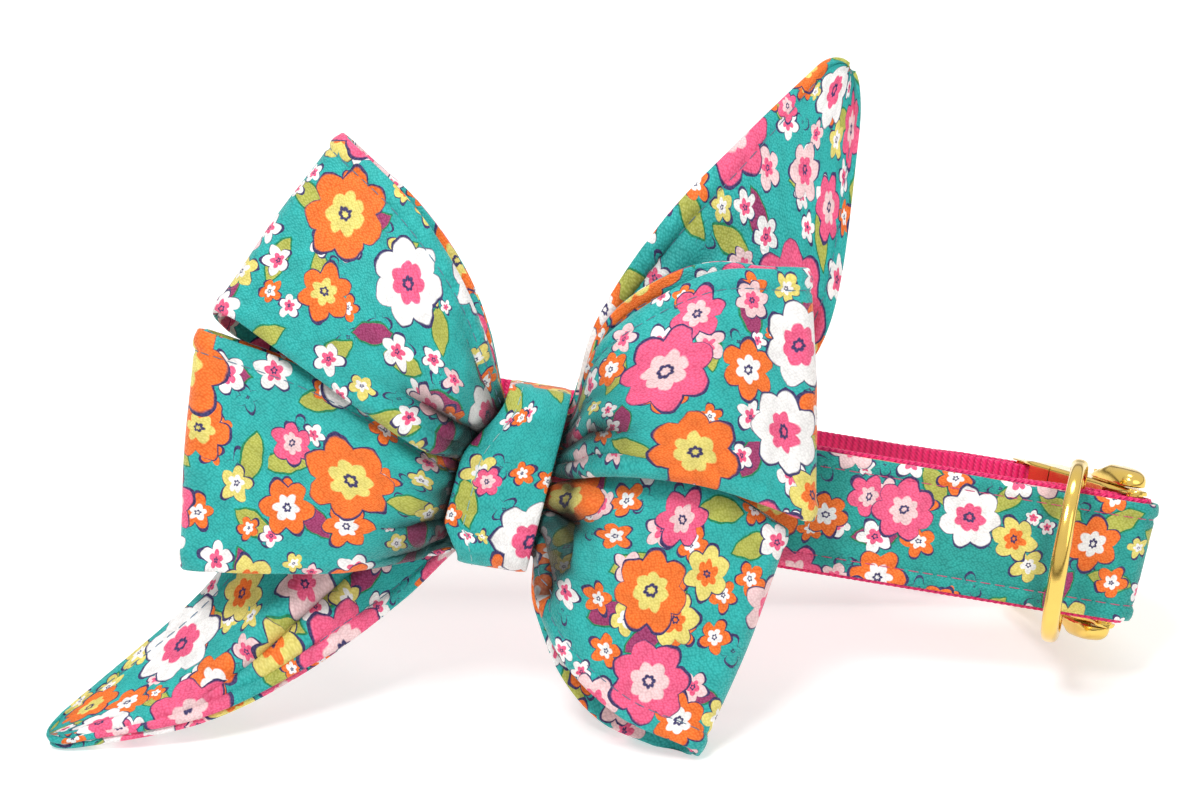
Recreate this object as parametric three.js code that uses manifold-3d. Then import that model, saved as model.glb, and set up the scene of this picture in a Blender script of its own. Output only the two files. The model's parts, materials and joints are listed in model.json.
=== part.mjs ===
// Dog collar with a large sailor bow.
// Millimetres. The pieces are drawn in the collar frame: X runs along the front strap towards the
// buckle, Y from the front strap to the back one, Z up the width of the strap. The last group turns
// the collar into the way it rests on a table, on its bow, its tail and its buckle.
import * as THREE from 'three';
import Module from 'manifold-3d';

const wasm = await Module();
wasm.setup();

// Driving dimensions
const STRAP_WIDTH = 25.4;
const WEBBING = 1.7; // thickness of the woven nylon
const COVER = 1; // printed cotton with its turned edges
const COVER_INSET = 0.5; // webbing that shows beyond each edge of the cover
const GAP = 0.3; // between pieces that touch on the real collar
const LOOP_DEPTH = 38; // front strap to back strap
const LEFT_END = -19; // where the left bend of the loop starts
const STITCH_X = 103; // end of the folded strap beside the ring
const RING_X = 112; // straight bar of the leash ring
const BAR_X = 122; // buckle bar inside the front fold
const BACK_BAR_X = 105; // buckle bar inside the back fold
const BACK_STITCH_X = 84; // end of the folded strap at the back
const RING_ROD = 3.5; // thickness of the ring's rod
const RING_HEIGHT = 33.4; // between the middles of the ring's two arms
const RING_REACH = 18.5; // bar to the middle of the ring's bow
const RING_CORNER = 3; // bend from the straight bar into the ring's arms
const RING_LEAN = 9; // degrees that the ring leans towards the bow
const BOW_CLOTH = 2.8; // double cotton with its filling
const DENT_WIDTH = 0.17; // of a loop's width
const REAR_CROWN = 0.1; // share of a loop's crown that its rear layer has
const KNOT_CLOTH = 2.2;
const KNOT_WIDTH = 12.2;
const BUCKLE_THICK = 7.4;
const BUCKLE_BEVEL = 1.6;
const BUCKLE_ARC = 14; // degrees between the buckle's two bars, in plan
const BUCKLE_HALF = 14; // half of the buckle's height, over the strap's edges
const BUTTON_RISE = 3.2; // buttons beyond the cheeks
const BUTTON_THICK = 7;
const BUTTON_LENGTH = 13;
const BUTTON_START = 1.5; // along the buckle from its front bar
const LEAN = 21; // degrees that the loop drops towards its back as it rests
const ROLL = 9.4; // degrees that the strap drops towards the buckle

const foldRadius = (2 * GAP + RING_ROD + WEBBING) / 2; // webbing's middle round a buckle bar
const coverOut = WEBBING / 2 + GAP + COVER / 2; // cover's middle beyond the webbing's
const doubled = WEBBING + GAP; // between the middles of two sewn layers

const look = (name, color, roughness, metalness) => (
  new THREE.MeshStandardMaterial({ name, color, roughness, metalness }));
const cotton = (name) => look(name, 0x2fb0a6, 0.85, 0);
const nylon = look('nylon', 0xe8205f, 0.7, 0);
const gold = (name) => look(name, 0xe8c45c, 0.2, 1);

// The four loops of the bow. One row for each section from the knot to the fold, evenly spaced:
// upper edge (ux, uz), lower edge (lx, lz), middle depth, half of the depth between the layers,
// crown of the front layer between its edges, forward tilt of the lower edge, depth of the dent.
// back shifts the middle of the rear layer, and dent is where across the front layer it lies.
const LOOPS = {
  bow_loop_upper_left: {
    rows: [
      { ux: 1.6, uz: 11.8, lx: 1.6, lz: -0.2, depth: -10.6, half: 1.9, crown: 0, tilt: 0, dent: 0 },
      { ux: -3.6, uz: 11.8, lx: -4.8, lz: -0.2, depth: -10.6, half: 1.9, crown: 0, tilt: 0, dent: 0 },
      { ux: -9.4, uz: 24, lx: -15, lz: 1.2, depth: -13.5, half: 5.5, crown: 2.5, tilt: 0, dent: 2.5 },
      { ux: -17, uz: 36, lx: -29, lz: 7.8, depth: -14.5, half: 8.5, crown: 4, tilt: 0, dent: 0.5 },
      { ux: -27, uz: 47, lx: -43, lz: 14.5, depth: -14.5, half: 8, crown: 3, tilt: 0, dent: 0 },
      { ux: -38, uz: 55, lx: -55.5, lz: 20, depth: -13, half: 4.5, crown: 1, tilt: 0, dent: 0 },
    ],
    back: { x: 0.6, z: 1.2 },
    dent: 0.72,
  },
  bow_loop_lower_left: {
    rows: [
      { ux: 1.6, uz: -2.4, lx: 1.2, lz: -16.8, depth: -10.6, half: 1.9, crown: 0, tilt: 0, dent: 0 },
      { ux: -4.8, uz: -2.4, lx: -6.2, lz: -16.8, depth: -10.6, half: 1.9, crown: 0, tilt: 0, dent: 0 },
      { ux: -15, uz: 0.6, lx: -16, lz: -20.5, depth: -12.6, half: 3, crown: 2, tilt: 0, dent: 1.5 },
      { ux: -28.5, uz: 6.5, lx: -29, lz: -24.5, depth: -13.8, half: 3.8, crown: 3, tilt: 0, dent: 0.5 },
      { ux: -43, uz: 12, lx: -42, lz: -27, depth: -14, half: 4, crown: 2.5, tilt: 0, dent: 0 },
      { ux: -59.5, uz: 15.3, lx: -55.5, lz: -29, depth: -14, half: 3.4, crown: 1, tilt: 0, dent: 0 },
    ],
    back: { x: 0, z: 0 },
    dent: 0.5,
  },
  bow_loop_upper_right: {
    rows: [
      { ux: 4.4, uz: 11.8, lx: 4.4, lz: -0.2, depth: -10.6, half: 1.9, crown: 0, tilt: 0, dent: 0 },
      { ux: 11.8, uz: 11.8, lx: 10.2, lz: -0.2, depth: -10.6, half: 1.9, crown: 0, tilt: 0, dent: 0 },
      { ux: 14, uz: 25, lx: 18.5, lz: 2.6, depth: -14, half: 5.5, crown: 3, tilt: 0, dent: 2.5 },
      { ux: 22.5, uz: 35.5, lx: 30.5, lz: 4.4, depth: -17, half: 7.5, crown: 4.5, tilt: 0, dent: 0.8 },
      { ux: 33.5, uz: 43.5, lx: 42, lz: 3.8, depth: -17, half: 7.5, crown: 4, tilt: 0, dent: 0 },
      { ux: 46, uz: 46, lx: 55, lz: 0.8, depth: -15.5, half: 4.5, crown: 1, tilt: 0, dent: 0 },
    ],
    back: { x: 0, z: 4 },
    dent: 0.4,
  },
  bow_loop_lower_right: {
    rows: [
      { ux: 4.4, uz: -2.4, lx: 4, lz: -16.8, depth: -10.6, half: 1.9, crown: 0, tilt: 0, dent: 0 },
      { ux: 10, uz: -2.4, lx: 8.8, lz: -16.8, depth: -10.6, half: 1.9, crown: 0, tilt: 0, dent: 0 },
      { ux: 18.5, uz: 0.8, lx: 11, lz: -25, depth: -12.8, half: 3.6, crown: 2.5, tilt: -1, dent: 2 },
      { ux: 30, uz: 2.6, lx: 18, lz: -35, depth: -14, half: 4.4, crown: 4, tilt: -3, dent: 0.5 },
      { ux: 41, uz: 1.8, lx: 29.5, lz: -43, depth: -14, half: 4.4, crown: 3, tilt: -4.5, dent: 0 },
      { ux: 51.5, uz: -2.5, lx: 42, lz: -46.5, depth: -13.5, half: 3.6, crown: 1, tilt: -6, dent: 0 },
    ],
    back: { x: 0, z: 0 },
    dent: 0.3,
  },
};

// The two tails. One row for each section from the knot to the tip, evenly spaced: one edge
// (ux, uy, uz), the other edge (lx, ly, lz), crown between them.
const TAILS = {
  bow_tail_upper_right: {
    rows: [
      { ux: 3, uy: -5, uz: 11.8, lx: 3, ly: -5, lz: -0.2, crown: 0 },
      { ux: 10.4, uy: -5, uz: 11.8, lx: 9.6, ly: -5, lz: -0.2, crown: 0 },
      { ux: 13, uy: -4.4, uz: 30, lx: 28, ly: -5, lz: 2.5, crown: 0.5 },
      { ux: 22.5, uy: -3, uz: 51, lx: 45, ly: -5, lz: 17, crown: 1 },
      { ux: 35.5, uy: -2, uz: 70, lx: 57, ly: -4.5, lz: 37, crown: 1 },
      { ux: 50.5, uy: -2, uz: 90, lx: 56.3, ly: -3, lz: 84, crown: 0 },
    ],
    thick: 2.4,
  },
  bow_tail_lower_left: {
    rows: [
      { ux: 1.6, uy: -5, uz: -2.4, lx: 1.2, ly: -5, lz: -16.8, crown: 0 },
      { ux: -5, uy: -5, uz: -2.4, lx: -6.4, ly: -5, lz: -16.8, crown: 0 },
      { ux: -24, uy: -4.8, uz: -7, lx: -17, ly: -7, lz: -30, crown: 0 },
      { ux: -43, uy: -4.5, uz: -18, lx: -31, ly: -12, lz: -44, crown: 0 },
      { ux: -57, uy: -6, uz: -39, lx: -51, ly: -17, lz: -58, crown: 0.5 },
      { ux: -80, uy: -15.5, uz: -65.8, lx: -78.5, ly: -18.5, lz: -68.1, crown: 0 },
    ],
    thick: 3.2,
  },
};

// A closed skin over rings of points that follow one another. Open sweeps get flat ends.
function skin(rings, closed) {
  const size = rings[0].length;
  const index = [];
  const steps = closed ? rings.length : rings.length - 1;
  for (let i = 0; i < steps; i += 1) {
    const next = (i + 1) % rings.length;
    for (let j = 0; j < size; j += 1) {
      const k = (j + 1) % size;
      index.push(i * size + j, i * size + k, next * size + k);
      index.push(i * size + j, next * size + k, next * size + j);
    }
  }
  if (!closed) {
    // Opposite points of a ring are j and size - 2 - j, so a strip of pairs closes each end
    const end = (i, flip) => {
      const at = (j) => i * size + ((j + size) % size);
      for (let j = -1; j < size / 2 - 1; j += 1) {
        const quad = [at(j), at(size - 2 - j), at(size - 3 - j), at(j + 1)];
        const faces = [[quad[0], quad[1], quad[2]], [quad[0], quad[2], quad[3]]];
        for (const f of faces) {
          if (new Set(f).size === 3) index.push(...(flip ? [f[0], f[2], f[1]] : f));
        }
      }
    };
    end(0, false);
    end(rings.length - 1, true);
  }
  const geometry = new THREE.BufferGeometry();
  geometry.setAttribute('position', new THREE.Float32BufferAttribute(
    rings.flat().flatMap((p) => [p.x, p.y, p.z]), 3));
  geometry.setIndex(index);
  return outward(geometry);
}

// Turns the faces over where they point into the solid
function outward(geometry) {
  const p = geometry.getAttribute('position');
  const index = geometry.getIndex().array;
  const [a, b, c] = [new THREE.Vector3(), new THREE.Vector3(), new THREE.Vector3()];
  let volume = 0;
  for (let i = 0; i < index.length; i += 3) {
    a.fromBufferAttribute(p, index[i]);
    b.fromBufferAttribute(p, index[i + 1]);
    c.fromBufferAttribute(p, index[i + 2]);
    volume += a.dot(b.cross(c));
  }
  if (volume < 0) {
    for (let i = 0; i < index.length; i += 3) {
      [index[i + 1], index[i + 2]] = [index[i + 2], index[i + 1]];
    }
  }
  geometry.computeVertexNormals();
  return geometry;
}

// A sheet of cloth of some thickness about a grid of middle points, with rounded long edges
function cloth(grid, thickness, closed = false) {
  const n = grid.length;
  const m = grid[0].length;
  const wrap = (i) => (closed ? (i + n) % n : Math.min(Math.max(i, 0), n - 1));
  const rings = grid.map((row, i) => {
    const front = [];
    const back = [];
    row.forEach((p, j) => {
      const along = grid[wrap(i + 1)][j].clone().sub(grid[wrap(i - 1)][j]);
      const across = row[Math.min(j + 1, m - 1)].clone().sub(row[Math.max(j - 1, 0)]);
      const normal = along.cross(across).normalize();
      const half = thickness * (j === 0 || j === m - 1 ? 0.36 : 0.5);
      front.push(p.clone().addScaledVector(normal, half));
      back.unshift(p.clone().addScaledVector(normal, -half));
    });
    const rim = (j, inner) => row[j].clone().addScaledVector(
      row[j].clone().sub(row[inner]).normalize(), thickness * 0.3);
    return [...front, rim(m - 1, m - 2), ...back, rim(0, 1)];
  });
  return skin(rings, closed);
}

const range = (count) => Array.from({ length: count + 1 }, (_, i) => i / count);
const curve = (points) => new THREE.CatmullRomCurve3(points, false, 'catmullrom', 0.5);
const edge = (rows, x, y, z) => curve(rows.map((r) => new THREE.Vector3(r[x], r[y] ?? 0, r[z])));

// A loop of the bow: front layer out from the knot, round fold, rear layer back to the knot
function bowLoop({ rows, back, dent }) {
  const upper = edge(rows, 'ux', '', 'uz');
  const lower = edge(rows, 'lx', '', 'lz');
  const layers = edge(rows, 'depth', 'half', 'crown');
  const shape = edge(rows, 'tilt', 'dent', '');
  const across = range(8);
  const section = (u, rear) => {
    const { x: depth, y: half, z: crown } = layers.getPoint(u);
    const { x: tilt, y: dentDepth } = shape.getPoint(u);
    const shift = rear ? Math.sin(Math.PI * u) ** 2 : 0;
    return across.map((w) => {
      const p = upper.getPoint(u).lerp(lower.getPoint(u), w);
      const rise = crown * (1 - (2 * w - 1) ** 2);
      const hollow = dentDepth * Math.exp(-(((w - dent) / DENT_WIDTH) ** 2));
      p.y = depth + tilt * w + (rear ? half + rise * REAR_CROWN : hollow - half - rise);
      return p.add(new THREE.Vector3(back.x * shift, 0, back.z * shift));
    });
  };
  const front = range(13).map((u) => section(u, false));
  const rear = range(9).map((u) => section(1 - u, true));
  const before = section(0.94, false);
  const fold = range(5).slice(1, -1).map((t) => across.map((_, j) => {
    const [a, b] = [front.at(-1)[j], rear[0][j]];
    const radius = a.distanceTo(b) / 2;
    const out = a.clone().sub(before[j]).setY(0).normalize();
    return a.clone().lerp(b, (1 - Math.cos(Math.PI * t)) / 2)
      .addScaledVector(out, radius * Math.sin(Math.PI * t));
  }));
  return cloth([...front, ...fold, ...rear], BOW_CLOTH);
}

function bowTail({ rows, thick }) {
  const upper = edge(rows, 'ux', 'uy', 'uz');
  const lower = edge(rows, 'lx', 'ly', 'lz');
  const crown = edge(rows, 'crown', '', '');
  return cloth(range(20).map((u) => range(6).map((w) => {
    const p = upper.getPoint(u).lerp(lower.getPoint(u), w);
    p.y -= crown.getPoint(u).x * (1 - (2 * w - 1) ** 2);
    return p;
  })), thick);
}

// The knot band closes round the gathered bow and the strap, so that the strap carries the bow
const KNOT = {
  front: -15.6, back: WEBBING / 2 + GAP + KNOT_CLOTH / 2 + 0.1, bottom: -19.5, top: 14.6, corner: 4.5,
};
const KNOT_MIDDLE = { top: 3.8, bottom: 1.4 }; // where the band's middle runs along the strap
function knotBand() {
  const { front, back, bottom, top, corner } = KNOT;
  const path = new THREE.Path();
  path.moveTo(front + corner, top);
  path.absarc(front + corner, top - corner, corner, Math.PI / 2, Math.PI);
  path.quadraticCurveTo(front - 1.6, (top + bottom) / 2, front, bottom + corner);
  path.absarc(front + corner, bottom + corner, corner, Math.PI, 1.5 * Math.PI);
  path.absarc(back - corner / 2, bottom + corner / 2, corner / 2, 1.5 * Math.PI, 2 * Math.PI);
  path.absarc(back - corner / 2, top - corner / 2, corner / 2, 0, Math.PI / 2);
  path.closePath();
  const outline = path.getSpacedPoints(44).slice(0, -1);
  const grid = outline.map((p) => {
    const t = (p.y - bottom) / (top - bottom);
    const middle = KNOT_MIDDLE.bottom + (KNOT_MIDDLE.top - KNOT_MIDDLE.bottom) * t;
    return range(4).map((w) => new THREE.Vector3(middle + (w - 0.5) * KNOT_WIDTH, p.x, p.y));
  });
  return cloth(grid, KNOT_CLOTH, true);
}

// The strap's route seen from above, from its sewn end at the front fold to that at the back
function strapPath(offset = 0) {
  const r = foldRadius;
  const path = new THREE.Path();
  const near = doubled + 0.1;
  path.moveTo(STITCH_X - 2, near + offset);
  path.lineTo(STITCH_X + 0.4, near + offset);
  path.lineTo(RING_X - 2.5, 2 * r + offset);
  path.lineTo(BAR_X, 2 * r + offset);
  path.absarc(BAR_X, r, r + offset, Math.PI / 2, -Math.PI / 2, true);
  path.lineTo(LEFT_END, -offset);
  path.absarc(LEFT_END, LOOP_DEPTH / 2, LOOP_DEPTH / 2 + offset, 1.5 * Math.PI, Math.PI / 2, true);
  return path;
}

function webbing() {
  const path = strapPath();
  const r = foldRadius;
  path.lineTo(BACK_BAR_X, LOOP_DEPTH);
  path.absarc(BACK_BAR_X, LOOP_DEPTH + r, r, -Math.PI / 2, Math.PI / 2);
  path.lineTo(BACK_STITCH_X + 8, LOOP_DEPTH + 2 * r);
  path.lineTo(BACK_STITCH_X + 2, LOOP_DEPTH + doubled + 0.1);
  path.lineTo(BACK_STITCH_X - 3, LOOP_DEPTH + doubled + 0.1);
  return strapCloth(path, STRAP_WIDTH / 2 - WEBBING * 0.3, WEBBING);
}

function strapCover() {
  const path = strapPath(coverOut);
  path.lineTo(BACK_STITCH_X - 5, LOOP_DEPTH + coverOut);
  return strapCloth(path, STRAP_WIDTH / 2 - COVER_INSET - COVER * 0.3, COVER);
}

// A vertical band along a plan route: curves get a point each 18 degrees, lines one each 25 mm
function strapCloth(path, half, thickness) {
  const points = [];
  for (const part of path.curves) {
    const steps = part.isLineCurve ? Math.ceil(part.getLength() / 25) : 10;
    points.push(...part.getPoints(steps).slice(points.length ? 1 : 0));
  }
  const across = [-1, -0.92, 0.92, 1]; // flat up to the rounded edges
  const grid = points.map((p) => across.map((w) => new THREE.Vector3(p.x, p.y, w * half)));
  return cloth(grid, thickness);
}

// Leash ring: straight bar inside the front fold, rounded bow in front of the strap. Eight-sided rod.
function leashRing() {
  const half = RING_HEIGHT / 2;
  const corner = RING_CORNER;
  const path = new THREE.Path();
  path.moveTo(0, -half + corner);
  path.lineTo(0, half - corner);
  path.absarc(corner, half - corner, corner, Math.PI, Math.PI / 2, true);
  path.bezierCurveTo(RING_REACH * 0.75, half, RING_REACH, half * 0.62, RING_REACH, 0);
  path.bezierCurveTo(RING_REACH, -half * 0.62, RING_REACH * 0.75, -half, corner, -half);
  path.absarc(corner, -half + corner, corner, 1.5 * Math.PI, Math.PI, true);
  const route = path.getSpacedPoints(48).slice(0, -1);
  const n = route.length;
  const rings = route.map((p, i) => {
    const tangent = route[(i + 1) % n].clone().sub(route[(i + n - 1) % n]).normalize();
    return range(8).slice(0, -1).map((t) => {
      const a = 2 * Math.PI * (t + 1 / 16);
      const out = (RING_ROD / 2 / Math.cos(Math.PI / 8)) * Math.cos(a);
      return new THREE.Vector3((RING_ROD / 2 / Math.cos(Math.PI / 8)) * Math.sin(a),
        -(p.x - tangent.y * out), p.y + tangent.x * out);
    });
  });
  return skin(rings, true);
}

// Joins and cuts
function solid(geometry) {
  const p = geometry.getAttribute('position').array;
  const index = geometry.getIndex()?.array ?? Uint32Array.from(range(p.length / 3 - 1), (_, i) => i);
  const seen = new Map();
  const vertices = [];
  const remap = Array.from({ length: p.length / 3 }, (_, i) => {
    const key = [0, 1, 2].map((k) => Math.round(p[3 * i + k] * 1e4)).join();
    if (!seen.has(key)) {
      seen.set(key, vertices.length / 3);
      vertices.push(p[3 * i], p[3 * i + 1], p[3 * i + 2]);
    }
    return seen.get(key);
  });
  return new wasm.Manifold(new wasm.Mesh({
    numProp: 3,
    vertProperties: Float32Array.from(vertices),
    triVerts: Uint32Array.from(index, (i) => remap[i]),
  }));
}

function fromSolid(manifold) {
  const mesh = manifold.getMesh();
  const geometry = new THREE.BufferGeometry();
  geometry.setAttribute('position', new THREE.BufferAttribute(mesh.vertProperties.slice(), 3));
  geometry.setIndex(new THREE.BufferAttribute(mesh.triVerts.slice(), 1));
  geometry.computeVertexNormals();
  return geometry;
}

// The buckle's middle line in plan: an arc from the front bar to the back bar
const frontBar = new THREE.Vector2(BAR_X, foldRadius);
const backBar = new THREE.Vector2(BACK_BAR_X, LOOP_DEPTH + foldRadius);
const BUCKLE_BEND = THREE.MathUtils.degToRad(BUCKLE_ARC);
const chord = backBar.clone().sub(frontBar);
const buckleRadius = chord.length() / 2 / Math.sin(BUCKLE_BEND / 2);
const buckleLength = buckleRadius * BUCKLE_BEND;
const buckleCentre = frontBar.clone().add(backBar).multiplyScalar(0.5).add(
  new THREE.Vector2(-chord.y, chord.x).normalize().multiplyScalar(buckleRadius * Math.cos(BUCKLE_BEND / 2)));
const startAngle = Math.atan2(frontBar.y - buckleCentre.y, frontBar.x - buckleCentre.x);

// Point of the plan at a distance along the buckle and a distance out from its middle line
function onBuckle(along, out) {
  const a = startAngle + along / buckleRadius;
  const r = buckleRadius + out;
  return new THREE.Vector2(buckleCentre.x + r * Math.cos(a), buckleCentre.y + r * Math.sin(a));
}

// A curved block of the buckle between two distances along it, with its corners rounded by 45 degree facets
function buckleBlock(from, to, thickness, bottom, top, bevel = 0) {
  const side = (start, end, out) => range(6).map((t) => onBuckle(start + (end - start) * t, out));
  const t = thickness / 2;
  const outline = [...side(from + bevel, to - bevel, t), ...side(to - bevel, from + bevel, -t)];
  if (bevel > 0) {
    outline.splice(7, 0, onBuckle(to, t - bevel), onBuckle(to, bevel - t));
    outline.push(onBuckle(from, bevel - t), onBuckle(from, t - bevel));
  }
  const geometry = new THREE.ExtrudeGeometry(new THREE.Shape(outline), {
    depth: top - bottom, bevelEnabled: false,
  });
  geometry.translate(0, 0, bottom);
  return solid(geometry);
}

function bar(at, radius, half) {
  const geometry = new THREE.CylinderGeometry(radius, radius, 2 * half, 12).toNonIndexed();
  geometry.rotateX(Math.PI / 2);
  geometry.translate(at.x, at.y, 0);
  return solid(geometry);
}

const WINDOW = 7.2; // clear length beside each bar, for the strap
const SOCKET_END = buckleLength * 0.66; // mouth of the socket
const TONGUE_PLATE = 3.6;
const PLATE_HALF = 9.4; // half height of the tongue's plate
const MOUTH_HALF = 11.6; // half height of the socket's mouth
const BAR_RADIUS = 1.7;
const BAR_END = 1.1; // buckle beyond each bar
const strapRoom = STRAP_WIDTH / 2 + GAP + 0.1; // half height of the windows
const SHANK_FROM = WINDOW + 2; // the buttons' shanks, along the buckle
const SHANK_TO = 15.4;
const SHANK_THICK = 4;
const SHANK_START = 9.8; // from the buckle's middle height

function buckleSocket() {
  const end = -BAR_RADIUS - BAR_END;
  const frame = buckleBlock(end, SOCKET_END, BUCKLE_THICK, -BUCKLE_HALF, BUCKLE_HALF, BUCKLE_BEVEL);
  const window = buckleBlock(end - 4, WINDOW, BUCKLE_THICK + 6, -strapRoom, strapRoom);
  const mouth = buckleBlock(WINDOW + 3, SOCKET_END + 3, TONGUE_PLATE + 2 * GAP, -MOUTH_HALF, MOUTH_HALF);
  const through = BUCKLE_HALF + 2;
  const room = 2 * GAP;
  const slot = buckleBlock(SHANK_FROM - room, SHANK_TO + room, SHANK_THICK + room, -through, through);
  return fromSolid(frame.subtract(window).subtract(mouth).subtract(slot)
    .add(bar(frontBar, BAR_RADIUS, BUCKLE_HALF - 0.4)));
}

function buckleTongue() {
  const end = buckleLength + BAR_RADIUS + BAR_END;
  const frame = buckleBlock(SOCKET_END + GAP, end, BUCKLE_THICK, -BUCKLE_HALF, BUCKLE_HALF, BUCKLE_BEVEL);
  const window = buckleBlock(buckleLength - WINDOW, end + 4, BUCKLE_THICK + 6, -strapRoom, strapRoom);
  const plate = buckleBlock(WINDOW + 3.6, SOCKET_END + 3, TONGUE_PLATE, -PLATE_HALF, PLATE_HALF);
  return fromSolid(frame.subtract(window).add(plate)
    .add(bar(backBar, BAR_RADIUS, BUCKLE_HALF - 0.4)));
}

// A release button: rounded head beyond the cheek and a shank in the socket's slot
function buckleButton(side) {
  const head = new THREE.Shape();
  const length = BUTTON_LENGTH;
  const rise = BUTTON_RISE;
  head.moveTo(0, 0);
  head.lineTo(length, 0);
  head.bezierCurveTo(length + 0.4, rise * 0.8, length - 1.5, rise, length - 4, rise);
  head.lineTo(4, rise);
  head.bezierCurveTo(1.5, rise, -0.4, rise * 0.8, 0, 0);
  const round = 0.8;
  const depth = BUTTON_THICK - 2 * round;
  const geometry = new THREE.ExtrudeGeometry(head, {
    depth, bevelThickness: round, bevelSize: round, bevelOffset: -round, bevelSegments: 2, curveSegments: 5,
  });
  geometry.translate(0, 0, -depth / 2);
  // The head's length bends along the buckle's arc
  const p = geometry.getAttribute('position');
  const base = BUCKLE_HALF + GAP;
  for (let i = 0; i < p.count; i += 1) {
    const plan = onBuckle(BUTTON_START + p.getX(i), p.getZ(i));
    p.setXYZ(i, plan.x, plan.y, side * (base + p.getY(i)));
  }
  if (side < 0) {
    const flipped = [];
    for (let i = 0; i < p.count; i += 3) flipped.push(i, i + 2, i + 1);
    geometry.setIndex(flipped);
  }
  const [low, high] = side > 0 ? [SHANK_START, base + 1.5] : [-base - 1.5, -SHANK_START];
  const shank = buckleBlock(SHANK_FROM, SHANK_TO, SHANK_THICK, low, high);
  return fromSolid(solid(geometry).add(shank));
}

function piece(name, geometry, material) {
  const mesh = new THREE.Mesh(geometry, material);
  mesh.name = name;
  return mesh;
}

const collar = new THREE.Group();
collar.add(piece('strap_webbing', webbing(), nylon));
collar.add(piece('strap_cover', strapCover(), cotton('strap cotton')));
for (const [name, table] of Object.entries(LOOPS)) collar.add(piece(name, bowLoop(table), cotton(name)));
for (const [name, table] of Object.entries(TAILS)) collar.add(piece(name, bowTail(table), cotton(name)));
collar.add(piece('bow_knot_band', knotBand(), cotton('knot cotton')));
collar.add(piece('buckle_socket', buckleSocket(), gold('socket gold')));
collar.add(piece('buckle_tongue', buckleTongue(), gold('tongue gold')));
collar.add(piece('buckle_button_upper', buckleButton(1), gold('upper button gold')));
collar.add(piece('buckle_button_lower', buckleButton(-1), gold('lower button gold')));

const ring = new THREE.Group();
ring.position.set(RING_X, WEBBING / 2 + GAP + RING_ROD / 2, 0);
ring.rotation.z = -THREE.MathUtils.degToRad(RING_LEAN);
ring.add(piece('leash_ring', leashRing(), gold('ring gold')));
collar.add(ring);

// At rest the strap drops towards the buckle and the loop drops towards its back
const resting = new THREE.Group();
collar.rotation.y = THREE.MathUtils.degToRad(ROLL);
resting.rotation.x = -THREE.MathUtils.degToRad(LEAN);
resting.add(collar);

// Origin below the middle of the whole, on the table
const part = new THREE.Group();
part.add(resting);
part.updateMatrixWorld(true);
const box = new THREE.Box3().setFromObject(part, true);
part.position.set(-(box.min.x + box.max.x) / 2, -(box.min.y + box.max.y) / 2, -box.min.z);

export default part;
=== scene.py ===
"""Dog collar with a large sailor bow: the looks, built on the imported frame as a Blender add-on.

Pieces are drawn in millimetres in the collar frame: X along the front strap towards the buckle,
Y from the front strap to the back one, Z up the width of the strap. place() takes them to the
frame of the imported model, in metres.
"""

import json
import math

import bmesh
import bpy
import numpy as np
from bpy.props import FloatProperty, FloatVectorProperty, IntProperty, PointerProperty
from bpy.types import Operator, Panel, PropertyGroup
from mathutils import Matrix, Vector


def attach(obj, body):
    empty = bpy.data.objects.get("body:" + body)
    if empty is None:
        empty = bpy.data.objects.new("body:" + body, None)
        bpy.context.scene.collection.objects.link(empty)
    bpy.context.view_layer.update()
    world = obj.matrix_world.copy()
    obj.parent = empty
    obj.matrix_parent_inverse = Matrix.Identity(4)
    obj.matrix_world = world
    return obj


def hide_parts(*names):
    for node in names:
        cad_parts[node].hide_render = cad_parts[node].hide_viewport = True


bl_info = {
    "name": "Dog Bow Collar",
    "version": (1, 0, 0),
    "blender": (4, 5, 0),
    "location": "3D View > Sidebar > Bow Collar",
    "description": "Builds a dog collar with a printed cotton bow, a metal buckle and a leash ring",
    "category": "Object",
}

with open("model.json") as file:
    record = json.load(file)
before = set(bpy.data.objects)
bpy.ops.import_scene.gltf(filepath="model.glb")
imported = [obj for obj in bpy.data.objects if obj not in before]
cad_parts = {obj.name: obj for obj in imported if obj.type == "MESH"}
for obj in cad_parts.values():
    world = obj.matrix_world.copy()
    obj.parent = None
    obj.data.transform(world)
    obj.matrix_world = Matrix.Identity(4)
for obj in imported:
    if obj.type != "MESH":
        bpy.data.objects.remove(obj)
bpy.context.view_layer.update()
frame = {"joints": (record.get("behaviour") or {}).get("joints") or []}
MM = 1000  # millimetres in a metre

# How the collar rests: its loop drops towards the back and its strap drops towards the buckle
LEAN = math.radians(21)
ROLL = math.radians(9.4)
LEANED = np.array([[1, 0, 0], [0, math.cos(LEAN), math.sin(LEAN)], [0, -math.sin(LEAN), math.cos(LEAN)]])
ROLLED = np.array([[math.cos(ROLL), 0, math.sin(ROLL)], [0, 1, 0], [-math.sin(ROLL), 0, math.cos(ROLL)]])
TURN = LEANED @ ROLLED
RING_AT = np.array([112, 2.9, 0])  # the leash ring's straight bar in the collar frame
ORIGIN = np.array(frame["joints"][0]["pos_m"]) * MM - TURN @ RING_AT
FLOOR_GAP = 0.0001  # what would dip into the floor flattens this far above it, in metres


def place(points):
    """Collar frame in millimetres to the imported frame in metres."""
    return (np.asarray(points, float) @ TURN.T + ORIGIN) / MM


def srgb(code, alpha=1):
    """Linear colour of an sRGB hex value."""
    parts = [int(code[i : i + 2], 16) / 255 for i in (1, 3, 5)]
    return [p / 12.92 if p < 0.04045 else ((p + 0.055) / 1.055) ** 2.4 for p in parts] + [alpha]


# Sizes and colours that a user would change


def number(name, default, text, low=0, **settings):
    return FloatProperty(name=name, description=text, default=default, min=low, **settings)


def length(name, default, text):
    return number(name, default / MM, text, unit="LENGTH", precision=5)


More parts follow.
